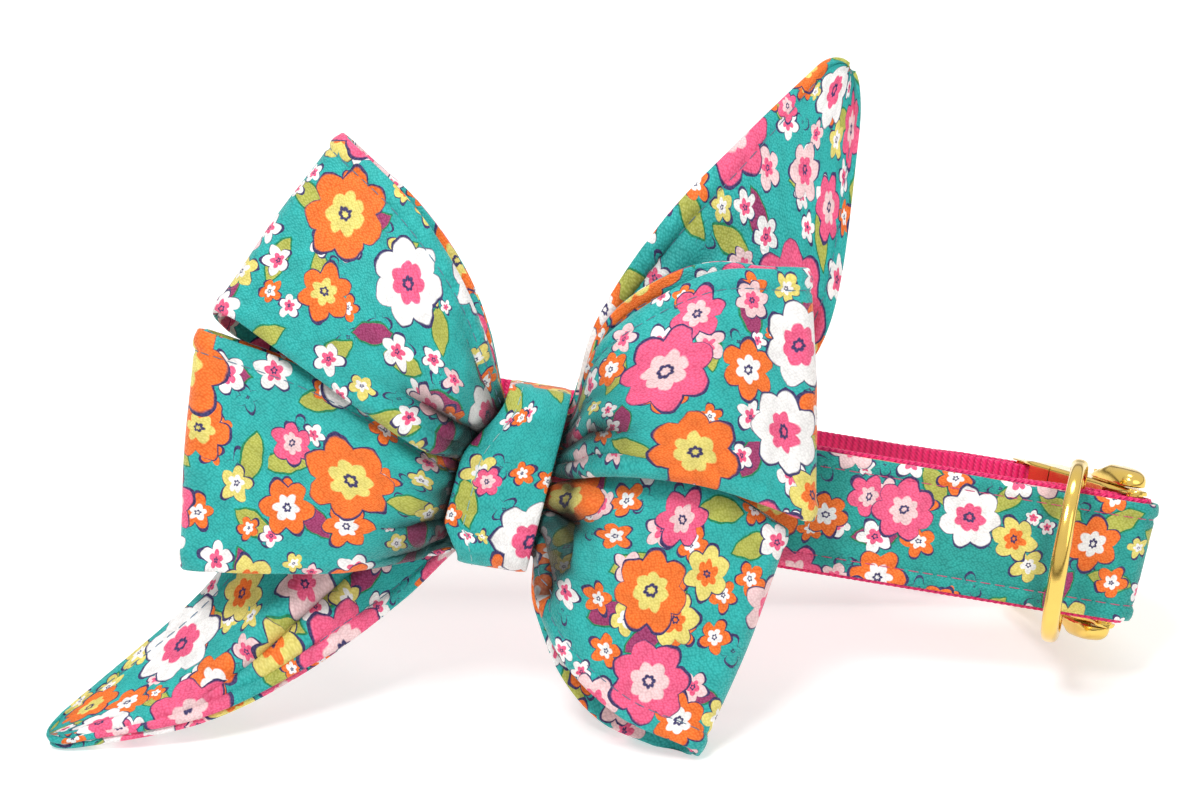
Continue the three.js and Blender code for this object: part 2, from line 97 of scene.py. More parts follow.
def colour(name, code, text):
    return FloatVectorProperty(
        name=name, description=text, default=srgb(code), size=4, min=0, max=1, subtype="COLOR"
    )


class BowCollarCotton(PropertyGroup):
    """Printed cotton of the bow and the strap's cover"""

    bow_thick: length("Bow cloth", 2.8, "Thickness of the bow's double cotton")
    seam: length("Topstitch inset", 3.2, "From a sewn edge to its topstitching")
    groove: length("Stitch groove", 0.34, "How deep the topstitching pulls into the cloth")
    stitch: length("Stitch", 2.3, "Length of one stitch")
    stitch_gap: length("Stitch gap", 0.6, "Between two stitches")
    thread_thick: length("Thread", 0.2, "Thickness of the sewing thread")
    gather: number("Gather", 1.9, "Depth of the pleats beside the knot")
    bow_ground: colour("Bow ground", "#2CB3AF", "Ground colour of the bow's print")
    strap_ground: colour("Strap ground", "#25A39B", "Ground colour of the strap's print")
    orange: colour("Orange", "#FB7A2B", "Orange flowers")
    pink: colour("Pink", "#F9638F", "Pink flowers")
    blush: colour("Blush", "#FBD6D8", "Pale pink flowers")
    white: colour("White", "#FFFDFC", "White flowers")
    yellow: colour("Yellow", "#EFE07C", "Yellow flowers")
    leaf: colour("Leaf", "#B9BC57", "Leaves")
    plum: colour("Plum", "#A33A6D", "Plum leaves")
    ink: colour("Ink", "#3B3568", "Drawn lines")
    bow_thread: colour("Bow thread", "#5C7F98", "Sewing thread on the bow")
    strap_thread: colour("Strap thread", "#D9437B", "Sewing thread on the strap")


class BowCollarStrap(PropertyGroup):
    """Woven strap and its cotton cover"""

    width: length("Webbing width", 25.4, "Width of the woven strap")
    thick: length("Webbing", 1.7, "Thickness of the woven strap")
    rib: length("Rib", 1.35, "Between two ribs of the weave")
    cover_inset: length("Cover inset", 0.8, "Webbing that shows beyond each edge of the cover")
    webbing: colour("Webbing", "#F2166E", "Colour of the woven strap")


class BowCollarMetal(PropertyGroup):
    """Buckle and leash ring"""

    rod: length("Ring rod", 3.5, "Thickness of the leash ring's rod")
    gold: colour("Gold", "#EFCB6B", "Colour of the polished metal")
    polish: number("Roughness", 0.12, "Roughness of the polish", max=1)
    sides: IntProperty(name="Rod sides", description="Faces round the ring's rod", default=28, min=8, max=64)


class BowCollarStage(PropertyGroup):
    """Floor, light and camera"""

    floor: colour("Floor", "#D4D3D2", "Colour of the floor")
    glow: number("Floor light", 0.5, "Light from below the floor", max=1)
    height: number(
        "View height",
        math.radians(25.5),
        "How high above the floor the camera looks from",
        subtype="ANGLE",
        unit="ROTATION",
    )
    distance: length("Distance", 900, "From the collar to the camera")
    lens: number("Lens", 136.35, "Focal length in millimetres on a 36 mm sensor", low=10)
    key: number("Key light", 7.0, "Power of the main soft light in watts")


# Shapes


def through(rows, t):
    """Smooth curve through evenly spaced rows, at each t from 0 to 1."""
    rows = np.asarray(rows, float)
    slopes = np.gradient(rows, axis=0)
    at = np.clip(t, 0, 1) * (len(rows) - 1)
    i = np.minimum(at.astype(int), len(rows) - 2)
    f = (at - i)[:, None]
    return (
        (2 * f**3 - 3 * f**2 + 1) * rows[i]
        + (f**3 - 2 * f**2 + f) * slopes[i]
        + (3 * f**2 - 2 * f**3) * rows[i + 1]
        + (f**3 - f**2) * slopes[i + 1]
    )


def unit(v):
    return v / np.maximum(np.linalg.norm(v, axis=-1, keepdims=True), 1e-9)


def ease(x, low, high):
    """Smooth step from 0 at low to 1 at high."""
    t = np.clip((np.asarray(x, float) - low) / (high - low), 0, 1)
    return t * t * (3 - 2 * t)


def bell(x, middle, width, power=2):
    """Bell curve: 1 at its middle, and steeper at its sides for a higher power."""
    return np.exp(-(((x - middle) / width) ** power))


def onward(points, closed=False):
    """Which way a line of points, or each column of a grid, runs at each row."""
    if closed:
        return np.roll(points, -1, axis=0) - np.roll(points, 1, axis=0)
    return np.gradient(points, axis=0)


def normals(grid, closed=False):
    return unit(np.cross(onward(grid, closed), np.gradient(grid, axis=1)))


def distance_along(points):
    """Distance from the first row: of a line of points, or the mean over a grid's columns."""
    steps = np.linalg.norm(np.diff(points, axis=0), axis=-1)
    if points.ndim == 3:
        steps = steps.mean(axis=1)
    return np.concatenate([[0], np.cumsum(steps)])


def sample(at, along, points):
    """Points of a line at the distances in at, when its own points lie at those in along."""
    return np.stack([np.interp(at, along, line) for line in points.T], axis=1)


def arc(x, y, radius, start, end, count):
    """Evenly spaced points of an arc about x, y, between two angles in degrees."""
    turns = [math.radians(t) for t in np.linspace(start, end, count)]
    return [(x + radius * math.cos(t), y + radius * math.sin(t)) for t in turns]


def tube(rows, sides, base=0, closed=False):
    """Faces of a tube whose points go round it row after row, the first of them being base."""
    faces = []
    for i in range(rows if closed else rows - 1):
        row, after = base + i * sides, base + (i + 1) % rows * sides
        for j in range(sides):
            beside = (j + 1) % sides
            faces.append([row + j, row + beside, after + beside, after + j])
    return faces


FINE_RIM = 1.6  # the fine columns of a cloth reach this far inside its topstitching


def columns(width, seam, fine=0.45, coarse=0.85):
    """Where the columns of a cloth lie across it, from 0 to 1: close together at its sewn edges."""
    rim = seam + FINE_RIM
    side = np.linspace(0, rim, max(2, round(rim / fine)) + 1)
    middle = np.linspace(rim, width - rim, max(2, round((width - 2 * rim) / coarse)) + 1)
    return np.concatenate([side, middle[1:-1], width - side[::-1]]) / width


THINNING = 0.15  # a double cloth is this much thinner at its very edges
EDGE_BULGE = 1.25  # how far a layer's folded edge stands out, as a share of a half circle
INNER_CUT = 61 * np.array([1, 0.7])  # the inner layer was cut from elsewhere on the printed cloth
PIECE_CUT = np.array([183, 97])  # and so was each next piece


class Cloth:
    """A double cloth about a grid of middle points, with a fold of each layer at both edges.

    Its rings start at the seam of the first edge, cross the outer layer to the seam of the second
    edge, and come back across the inner layer. seam is how far inside the edges the topstitching
    runs, groove how deep it pulls in, pipe how far the edge swells outside it and pucker how far
    the stitches gather it. sewn names the edges that have topstitching.
    """

    def __init__(
        self, middle, across, width, thick,
        seam=0, groove=0, pipe=0, pucker=0, sewn=(0, 1), closed=False, flip=False,
    ):
        n, m = middle.shape[:2]
        normal = normals(middle, closed) * (-1 if flip else 1)
        sewn_here = np.where(across < 0.5, 0 in sewn, 1 in sewn)[None, :]
        edge = np.minimum(across, 1 - across)[None, :] * width
        # the edge swells outside the topstitching, and the stitches gather it in uneven puckers
        swell = pipe * bell(edge, seam * 0.42, 0.4 * seam + 0.1, 4)
        run = distance_along(middle)[:, None]
        waves = np.sin(2.4 * run + 1.7 * np.sin(0.7 * run) + 9 * across[None, :])
        waves = waves + 0.6 * np.sin(5.3 * run + 2.1 * np.sin(0.43 * run) - 7 * across[None, :])
        swell = swell + pucker * waves * bell(edge, seam * 0.8, 0.6 * seam + 0.1)
        dip = sewn_here * groove * bell(edge, seam, 0.5) * (1 + 0.25 * waves)
        middle = middle + normal * swell[..., None] / 2
        half = thick / 2 * (1 - THINNING * bell(edge, 0, 0.9)) + swell / 2 - dip
        self.sewn, self.seam = sewn, seam
        self.across, self.width, self.closed, self.middle = across, width, closed, middle
        self.normal, self.half = normal, half
        self.dark = np.zeros((n, m))  # how far light is shut out of the pleats, on the outer layer
        outer = middle + normal * half[..., None]
        inner = middle - normal * half[..., None]
        lobe = 5 if thick > 2 else 3  # faces round a layer's fold
        turns = np.linspace(0, math.pi, lobe + 1)[1:]
        rims = []
        for j, inside in ((0, 1), (m - 1, m - 2)):
            out = unit(np.cross(onward(middle[:, j], closed), normal[:, j]))
            away = middle[:, j] - middle[:, inside]
            out = out * np.where((out * away).sum(-1, keepdims=True) < 0, -1, 1)
            r = half[:, j, None] / 2
            for side in (1, -1):
                up = normal[:, j] * side * r
                pole = middle[:, j] + up
                rims.append([pole + up * math.cos(a) + out * EDGE_BULGE * r * math.sin(a) for a in turns])
        first_outer, first_inner, last_outer, last_inner = rims
        ring = [first_outer[-1], *first_outer[-2::-1], *[outer[:, j] for j in range(m)], *last_outer]
        ring += [*last_inner[-2::-1], *[inner[:, j] for j in range(m - 1, -1, -1)], *first_inner[:-1]]
        self.rings = np.stack(ring, axis=1)
        bend = thick / 4 * math.pi * np.arange(lobe, 0, -1) / lobe
        self.v_outer = np.concatenate([-bend, across * width, width + bend[::-1]])
        self.v_inner = self.v_outer[::-1]

    def mesh(self, cut=0):
        """Points, faces, and a flat place in millimetres for each corner of each face.

        cut numbers the place on the printed cloth that the piece was cut from.
        """
        n, k = self.rings.shape[:2]
        half = k // 2
        along = distance_along(self.middle)
        if self.closed:
            last = np.linalg.norm(self.middle[0] - self.middle[-1], axis=1).mean()
            along = np.append(along, along[-1] + last)
        steps = n if self.closed else n - 1
        i, j = (x.ravel() for x in np.meshgrid(np.arange(steps), np.arange(k), indexing="ij"))
        outer = j < half
        local = np.where(outer, j, j - half)
        v0 = np.where(outer, self.v_outer[local], self.v_inner[local])
        v1 = np.where(outer, self.v_outer[local + 1], self.v_inner[local + 1])
        u = np.stack([along[i], along[i], along[i + 1], along[i + 1]], axis=1)
        v = np.stack([v0, v1, v1, v0], axis=1)
        flat = np.stack([u, v], axis=2) + (~outer)[:, None, None] * INNER_CUT + cut * PIECE_CUT
        faces, flat = tube(n, k, closed=self.closed), list(flat.reshape(-1, 2))
        across = np.concatenate([self.v_outer[:-1], self.v_inner[:-1]])
        for row in () if self.closed else (0, n - 1):
            for c in range(half):
                cap = list(dict.fromkeys([c, c + 1, k - c - 1, (k - c) % k]))
                faces.append([row * k + x for x in cap])
                flat += [(along[row], across[x]) + cut * PIECE_CUT for x in cap]
        return self.rings.reshape(-1, 3), faces, np.array(flat)

    def shade(self):
        """dark for each of the mesh's points."""
        n, m = self.dark.shape
        lobe = (self.rings.shape[1] - 2 * m + 2) // 4
        first, last = (np.repeat(self.dark[:, c : c + 1], lobe, axis=1) for c in (0, m - 1))
        inner = np.zeros((n, m + 2 * lobe - 2))
        return np.concatenate([first, self.dark, last, inner], axis=1).ravel()

    def face_line(self, w, outer=True, lift=0.02):
        """Points down a face of the cloth at a place across it, and the way out of the face."""
        j = int(np.argmin(abs(self.across - w)))
        way = self.normal[:, j] * (1 if outer else -1)
        return self.middle[:, j] + way * (self.half[:, j, None] + lift), way


def new_piece(name, points, faces, material, flat=None, body="collar", nodes=(), slot=None):
    """A smooth mesh piece from points in the collar frame, which rides on a body."""
    mesh = bpy.data.meshes.new(name)
    at = place(points)
    at[:, 2] = np.maximum(at[:, 2], FLOOR_GAP)
    mesh.from_pydata(at.tolist(), [], faces)
    if flat is not None:
        uv = mesh.uv_layers.new(name="Cloth")
        uv.data.foreach_set("uv", flat.ravel())
    mesh.polygons.foreach_set("use_smooth", [True] * len(mesh.polygons))
    mesh.materials.append(material)
    mesh.validate()
    mesh.update()
    piece = bpy.data.objects.new(name, mesh)
    bpy.context.scene.collection.objects.link(piece)
    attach(piece, body)
    if nodes:
        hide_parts(*nodes)
    return piece


SAME_PLACE = 2e-6  # points closer than this, in metres, become one


def close_doubles(piece):
    work = bmesh.new()
    work.from_mesh(piece.data)
    bmesh.ops.remove_doubles(work, verts=work.verts, dist=SAME_PLACE)
    bmesh.ops.recalc_face_normals(work, faces=work.faces)
    work.to_mesh(piece.data)
    work.free()


def sew_up(name, cloth, material, cut, slot="printed_cotton", **sheet):
    points, faces, flat = cloth.mesh(cut)
    piece = new_piece(name + "_cloth", points, faces, material, flat, nodes=[name], slot=slot)
    shut = piece.data.attributes.new("Shut", "FLOAT", "POINT")
    shut.data.foreach_set("value", cloth.shade())
    close_doubles(piece)


# Down one stitch: how far along it, its thickness there, and how high it lies in millimetres
STITCH = np.array(
    [[0, 0.25, -0.14], [0.08, 0.8, 0], [0.3, 1, 0.07], [0.7, 1, 0.07], [0.92, 0.8, 0], [1, 0.25, -0.14]]
)
STITCH_SIDES = 6


def stitches(name, lines, material, sew):
    """A row of thread stitches along each (points, way out) line.

    Each stitch is a thin rounded tube that dips at its ends.
    """
    stitch, gap, radius = sew.stitch * MM, sew.stitch_gap * MM, sew.thread_thick * MM / 2
    turns = [2 * math.pi * q / STITCH_SIDES for q in range(STITCH_SIDES)]
    points, faces = [], []
    for line, way in lines:
        along = distance_along(line)
        count = int(along[-1] // (stitch + gap))
        for k in range(count):
            start = (k + 0.5) * along[-1] / count - stitch / 2
            at = start + STITCH[:, 0] * stitch
            middle = sample(at, along, line)
            up = unit(sample(at, along, way))
            side = unit(np.cross(unit(onward(middle)), up))
            middle = middle + up * STITCH[:, 2:3]
            base = len(points)
            for p, u, s, r in zip(middle, up, side, STITCH[:, 1]):
                points += [p + radius * r * (u * math.cos(a) + s * math.sin(a)) for a in turns]
            faces += tube(len(STITCH), STITCH_SIDES, base)
            faces.append([base + q for q in reversed(range(STITCH_SIDES))])
            faces.append([len(points) - STITCH_SIDES + q for q in range(STITCH_SIDES)])
    return new_piece(name, points, faces, material, slot="printed_cotton")


# The four loops of the bow. rows has one row for each section from the knot to the fold, evenly
# spaced: upper edge x and z, lower edge x and z, middle depth, half of the depth between the
# layers, crown of the front layer, forward tilt of the lower edge, depth of the dent. back shifts
# the rear layer's middle, and flare its lower edge beside the fold. sewn names the edges that have
# topstitching. shoulder is how far from the knot the gathers puff up: at the upper edge, in the
# middle and at the lower edge. dent is where across the front layer the dent lies, and width the
# cloth's. pleats run out from the knot: where across they lie at the knot and at their end, width
# as a share of the cloth's, depth in millimetres (negative for a ridge), and where they begin and
# end along the loop.
LOOPS = {
    "bow_loop_upper_left": {
        "rows": [
            (1.6, 11.8, 1.6, 0.1, -10.6, 1.9, 0, 0, 0),
            (-3.6, 11.8, -4.8, 0.1, -10.6, 1.9, 0, 0, 0),
            (-9.4, 24, -15, 1.7, -13.5, 5.5, 2.5, 0, 2.5),
            (-17, 36, -29, 7.8, -14.5, 8.5, 4, 0, 0.5),
            (-27, 47, -43, 14.5, -14.5, 8, 3, 0, 0),
            (-38, 55, -55.5, 20, -13, 4.5, 1, 0, 0),
        ],
        "back": (0.6, 1.2),
        "flare": (-1.1, -3.5),
        "sewn": (0,),
        "shoulder": (0.5, 1.5, 2.5),
        "dent": 0.72,
        "width": 39,
        "pleats": [
            (0.62, 0.8, 0.065, 3.6, 0.18, 0.62),
            (0.97, 0.96, 0.06, -1.3, 0.2, 0.75),
            (0.36, 0.6, 0.07, -1.1, 0.18, 0.5),
            (0.24, 0.14, 0.05, 1.3, 0.18, 0.56),
            (0.08, 0.04, 0.05, -0.6, 0.2, 0.6),
            (0.66, 0.74, 0.02, 1.5, 0.2, 0.5),
            (0.46, 0.5, 0.02, 1.1, 0.17, 0.36),
            (0.8, 0.93, 0.018, 1.0, 0.2, 0.5),
        ],
    },
    "bow_loop_lower_left": {
        "rows": [
            (1.6, -2.8, 1.2, -16.8, -10.6, 1.9, 0, 0, 0),
            (-4.8, -2.8, -6.2, -16.8, -10.6, 1.9, 0, 0, 0),
            (-15, -0.1, -16, -20.5, -12.6, 3, 2, 0, 1.5),
            (-28.5, 6.5, -29, -24.5, -13.8, 3.8, 3, 0, 0.5),
            (-43, 12, -42, -27, -14, 4, 2.5, 0, 0),
            (-59.5, 15.3, -55.5, -29, -14, 3.4, 1, 0, 0),
        ],
        "back": (0, 0),
        "sewn": (0,),
        "shoulder": (0.5, 1.2, 3),
        "dent": 0.5,
        "width": 40,
        "pleats": [
            (0.56, 0.74, 0.06, 2.8, 0.18, 0.58),
            (0.34, 0.5, 0.09, -1.2, 0.18, 0.55),
            (0.84, 0.96, 0.08, 3.2, 0.18, 0.6),
            (0.14, 0.1, 0.05, 0.7, 0.2, 0.5),
            (0.56, 0.66, 0.02, 1.4, 0.18, 0.44),
            (0.3, 0.24, 0.02, 1.0, 0.17, 0.36),
            (0.8, 0.86, 0.02, 1.0, 0.18, 0.42),
        ],
    },
    "bow_loop_upper_right": {
        "rows": [
            (4.4, 11.8, 4.4, 0.1, -10.6, 1.9, 0, 0, 0),
            (11.8, 11.8, 10.2, 0.1, -10.6, 1.9, 0, 0, 0),
            (14, 25, 18.5, 3.0, -14, 5.5, 3, 0, 2.5),
            (22.5, 35.5, 30.5, 4.4, -17, 7.5, 4.5, 0, 0.8),
            (33.5, 43.5, 42, 3.8, -17, 7.5, 4, 0, 0),
            (46, 46, 55, 0.8, -15.5, 4.5, 1, 0, 0),
        ],
        "back": (0, 4),
        "sewn": (0,),
        "shoulder": (1, 1.2, 2.5),
        "dent": 0.4,
        "width": 42,
        "pleats": [
            (0.58, 0.74, 0.075, 3.5, 0.18, 0.58),
            (0.3, 0.45, 0.1, -1.2, 0.2, 0.55),
            (0.97, 0.97, 0.05, -1.3, 0.18, 0.7),
            (0.87, 0.88, 0.035, 1.0, 0.2, 0.6),
            (0.12, 0.1, 0.05, 0.9, 0.2, 0.5),
            (0.62, 0.68, 0.02, 1.5, 0.2, 0.46),
            (0.36, 0.3, 0.02, 1.0, 0.18, 0.36),
            (0.84, 0.86, 0.018, 1.0, 0.18, 0.5),
        ],
    },
    "bow_loop_lower_right": {
        "rows": [
            (4.4, -2.8, 4, -16.8, -10.6, 1.9, 0, 0, 0),
            (10, -2.8, 8.8, -16.8, -10.6, 1.9, 0, 0, 0),
            (18.5, 0.3, 11, -25, -12.8, 3.6, 2.5, -1, 2),
            (30, 2.6, 18, -35, -14, 4.4, 4, -3, 0.5),
            (41, 1.8, 29.5, -43, -14, 4.4, 3, -4.5, 0),
            (51.5, -2.5, 42, -46.5, -13.5, 3.6, 1, -6, 0),
        ],
        "back": (-1.2, -1.3),
        "flare": (-2.8, -2.8),
        "sewn": (1,),
        "shoulder": (2.5, 6, 4.5),
        "dent": 0.3,
        "width": 42,
        "pleats": [
            (0.33, 0.42, 0.06, 3.9, 0.15, 0.52),
            (0.12, 0.16, 0.08, -1.4, 0.16, 0.6),
            (0.5, 0.6, 0.06, -1.5, 0.16, 0.5),
            (0.66, 0.86, 0.055, 3.4, 0.15, 0.5),
            (0.93, 0.94, 0.05, -0.8, 0.2, 0.5),
            (0.34, 0.38, 0.02, 1.5, 0.18, 0.42),
            (0.7, 0.76, 0.02, 1.3, 0.18, 0.4),
            (0.52, 0.5, 0.018, 0.9, 0.17, 0.34),
        ],
    },
}
DENT_WIDTH = 0.17  # share of the cloth's width
SHOULDER_RISE, SHOULDER_LENGTH = 2.0, 4.2  # share of the gather; millimetres that it rises over
REAR_CROWN = 0.1  # of the rear layer, as a share of the front one's
REAR_PLEATS = 0.3  # likewise
LOOP_EASE = 0.95  # the cloth's width laid flat, as a share of the gathered cloth's
LOOP_LENGTH = 0.13  # metres laid flat: out, round the fold and back
TAIL_FILL = 0.75  # share of its rectangle that a pointed tail fills
TAIL_ROWS, TIP_ROWS = 150, 11
TIP_CURVE = 2.4  # power of the outline of a tail's tip, where 2 would be an ellipse
TIP_END = 0.002  # share of the tip's width that its last row keeps
FRONT_ROWS, FOLD_ROWS, REAR_ROWS = 104, 15, 84
LAYER_GAP = 0.2  # the least air between the front and the rear layer
CLEAR_TO, FOLD_FROM = 0.9, 0.94  # shares of the loop: where the gap ends, where the fold's way starts

# The two tails. One row for each section from the knot to the tip, evenly spaced: one edge's x, y
# and z, the other edge's, crown between them. thick and width are the cloth's, tip is the share of
# the length that the tip's turn takes up, flat is the size laid flat in metres, and pleats are as
# for the loops.
TAILS = {
    "bow_tail_upper_right": {
        "rows": [
            (3, -5, 11.8, 3, -5, -0.2, 0),
            (10.4, -5, 11.8, 9.6, -5, -0.2, 0),
            (13, -4.4, 30, 28, -5, 2.5, 0.5),
            (22.5, -3, 51, 45, -5, 17, 1),
            (35.5, -2, 70, 57, -4.5, 37, 1),
            (50.5, -2, 90, 56.3, -3, 84, 0),
        ],
        "thick": 2.4,
        "width": 34,
        "tip": 0.04,
        "flat": (0.036, 0.1),
        "pleats": [
            (0.1, 0.1, 0.04, 1.3, 0.18, 0.75),
            (0.2, 0.17, 0.04, -1.1, 0.18, 0.7),
            (0.3, 0.26, 0.05, 1.2, 0.18, 0.8),
            (0.03, 0.03, 0.04, -0.6, 0.2, 0.8),
        ],
    },
    "bow_tail_lower_left": {
        "rows": [
            (1.6, -4.7, -2.4, 1.2, -4.7, -16.8, 0),
            (-5, -4.7, -2.4, -6.4, -4.7, -16.8, 0),
            (-24, -3.8, -7, -17, -6.2, -30, 0),
            (-43, -3.3, -18, -31, -11.0, -44, 0),
            (-57, -6, -39, -51, -17, -58, 0.5),
            (-80, -15.5, -65.8, -78.5, -18.5, -68.1, 0),
        ],
        "thick": 3.2,
        "width": 30,
        "tip": 0.03,
        "flat": (0.03, 0.105),
        "pleats": [
            (0.4, 0.9, 0.035, 1.8, 0.22, 0.9),
            (0.3, 0.78, 0.06, -1.5, 0.2, 0.95),
            (0.93, 0.93, 0.025, 0.8, 0.55, 1.3),
        ],
    },
}

# The knot band, seen from the end of the strap
KNOT = {"front": -15.6, "back": 2.35, "bottom": -19.5, "top": 14.6, "corner": 4.5}
KNOT_WIDTH = 16.8
KNOT_CLOTH = 2.2
KNOT_MIDDLE = (-2.2, 0.9)  # where the band's middle runs along the strap, at its bottom and its top
KNOT_WAIST = ((5.7, -1, 13), (4.2, -12, -19.5))  # how far its left edge comes in, and between what heights
KNOT_RIM = 1.7  # the band still holds the bow this far beyond its edges
KNOT_GAP = 1.0  # between the band and the loops that it holds down
KNOT_BLEND = 1.6  # how sharply the held part of a loop meets its own shape
SWELL, SWELL_POWER = 2.6, 0.8  # how far a loop swells out at 1 mm beside the band, and how that grows
KNOT_SEWN = slice(2, 80)  # rows of the band that its topstitching crosses
KNOT_SEAM = 0.2  # share of the band's width where the topstitching runs
KNOT_FLAT = (0.0168, 0.095)  # metres laid flat


def knot_edges(z):
    """Where the band's two edges run along the strap, at a height."""
    low, high = KNOT["bottom"], KNOT["top"]
    middle = KNOT_MIDDLE[0] + (KNOT_MIDDLE[1] - KNOT_MIDDLE[0]) * (z - low) / (high - low)
    left = middle - KNOT_WIDTH / 2
    for depth, start, end in KNOT_WAIST:
        left = left + depth * ease(z, start, end)
    return left, middle + KNOT_WIDTH / 2


def beside_knot(x, z):
    """How far points lie beyond the knot band's edges, in millimetres; none under the band."""
    left, right = knot_edges(z)
    side = np.maximum(np.maximum(left - x, x - right) - KNOT_RIM, 0)
    return np.hypot(side, np.maximum(z - KNOT["top"], 0) + np.maximum(KNOT["bottom"] - z, 0))


def pleat_depth(u, w, spec, gather, off=None):
    """How far the pleats and the cloth's own small folds push the cloth in, at rows u and columns w.

    Also how much of the light the pleats shut out there, from 0 to 1. off is how far each point
    lies beyond the knot band.
    """
    u, w = u[:, None], w[None, :]
    depth, dark = 0, 0
    for start, end, wide, deep, low, high in spec["pleats"]:
        at = start + (end - start) * np.clip((u - low) / (high - low), 0, 1)
        reach = ease(u, low - 0.02, low + 0.12) * (1 - ease(u, low + 0.45 * (high - low), high))
        away = abs(w - at) / (wide * (1 + u))
        shape = bell(away, 0, 1, 1.2 if deep > 0 else 2)
        if deep > 0:  # cloth pushed out of a valley rises beside it
            shape = shape - 0.3 * bell(away, 2.1, 1)
        depth = depth + gather * deep * reach * shape
        dark = dark + max(0, deep) / 3 * reach * bell(away, 0, 1.1)
    if off is not None:
        # the gathers puff up in an uneven shoulder, some way out from the knot
        first, middle, last = spec["shoulder"]
        start = first * (1 - w) * (1 - 2 * w) + 4 * middle * w * (1 - w) + last * w * (2 * w - 1)
        past = off - start - 0.5 * np.sin(23 * w)
        puff = ease(past, 0, SHOULDER_LENGTH) * (1 - ease(u, 0.4, 0.8)) * (1 - (2 * w - 1) ** 6)
        depth = depth - gather * SHOULDER_RISE * puff
        # no light gets under the knot band's edge, and less into the gathers beside it
        dark = dark + 0.65 * (1 - ease(past, 0, 3)) * (1 - 0.3 * abs(2 * w - 1))
        dark = dark + 0.7 * bell(past, 0, 1.1) * (0.6 + 0.4 * np.sin(31 * w))
        dark = dark + 0.34 * (1 - ease(past, 1, 11)) * (0.7 + 0.3 * np.sin(19 * w + 2))
    soft = 0.16 * np.sin(9 * u + 5 * w + 1) * np.sin(7 * w - 4 * u) + 0.1 * np.sin(21 * u - 8 * w)
    return depth + soft * ease(u, 0.25, 0.45), np.clip(dark, 0, 1)


def sewn_cloth(grid, w, spec, thick, sew, front_rows, **form):
    """The Cloth of a loop or a tail, its outer layer the one that faces the viewer in front_rows."""
    flip = normals(grid)[front_rows].mean(axis=(0, 1))[1] > 0
    edges = {"seam": sew.seam * MM, "groove": sew.groove * MM, "pipe": 0.35, "pucker": 0.1}
    return Cloth(grid, w, spec["width"], thick, flip=flip, **edges, **form)


def bow_loop(spec, sew):
    """A loop's Cloth: front layer out from the knot, round fold, rear layer back to the knot."""
    w = columns(spec["width"], sew.seam * MM)
    thick = sew.bow_thick * MM

    def section(u):
        """Places along and up the strap at rows u, and the rows' other measures."""
        r = through(spec["rows"], u)
        upper, lower = r[:, None, 0:2], r[:, None, 2:4]
        depth, half, crown, tilt, dent = (r[:, None, c] for c in range(4, 9))
        rise = crown * (1 - (2 * w - 1) ** 2)
        return upper + (lower - upper) * w[None, :, None], depth + tilt * w, half, rise, dent

    def rear(u):
        at, y, half, rise, _ = section(u)
        at = at + np.sin(math.pi * u)[:, None, None] ** 2 * np.array(spec["back"])
        flare = ease(u, 0.45, 0.85)[:, None, None] * w[None, :, None] ** 4
        at = at + flare * np.array(spec.get("flare", (0, 0)))
        push = np.maximum(pleat_depth(u, 1 - w, spec, sew.gather)[0], 0)
        y = y + half + rise * REAR_CROWN - REAR_PLEATS * ease(u, 0.3, 0.45)[:, None] * push
        return np.stack([at[..., 0], y, at[..., 1]], axis=2)

    def front(u):
        at, y, half, rise, dent = section(u)
        off = beside_knot(at[..., 0], at[..., 1])
        push, dark = pleat_depth(u, w, spec, sew.gather, off)
        y = y + dent * bell(w, spec["dent"], DENT_WIDTH) - half - rise + push
        # the front layer stays clear of the rear one
        room = rear(u)[..., 1] - thick - LAYER_GAP
        y = np.where(u[:, None] < CLEAR_TO, np.minimum(y, room), y)
        # the knot band holds the loop down, and it swells out beside the band
        held = KNOT["front"] + KNOT_CLOTH / 2 + thick / 2 + KNOT_GAP - SWELL * off**SWELL_POWER
        y = held + np.logaddexp(0, (y - held) * KNOT_BLEND) / KNOT_BLEND
        return np.stack([at[..., 0], y, at[..., 1]], axis=2), dark

    out_front, dark = front(np.linspace(0, 1, FRONT_ROWS))
    back_rear = rear(np.linspace(1, 0, REAR_ROWS))
    a, b = out_front[-1], back_rear[0]
    radius = np.linalg.norm(a - b, axis=1, keepdims=True) / 2
    before_fold = front(np.array([FOLD_FROM]))[0][0]
    out = unit((a - before_fold) * (1, 0, 1))
    turns = math.pi * np.linspace(0, 1, FOLD_ROWS + 2)[1:-1]
    fold = [a + (b - a) * (1 - math.cos(t)) / 2 + out * radius * math.sin(t) for t in turns]
    grid = np.concatenate([out_front, fold, back_rear])
    cloth = sewn_cloth(grid, w, spec, thick, sew, slice(20, 80), sewn=spec["sewn"])
    cloth.dark[:FRONT_ROWS] = dark
    return cloth


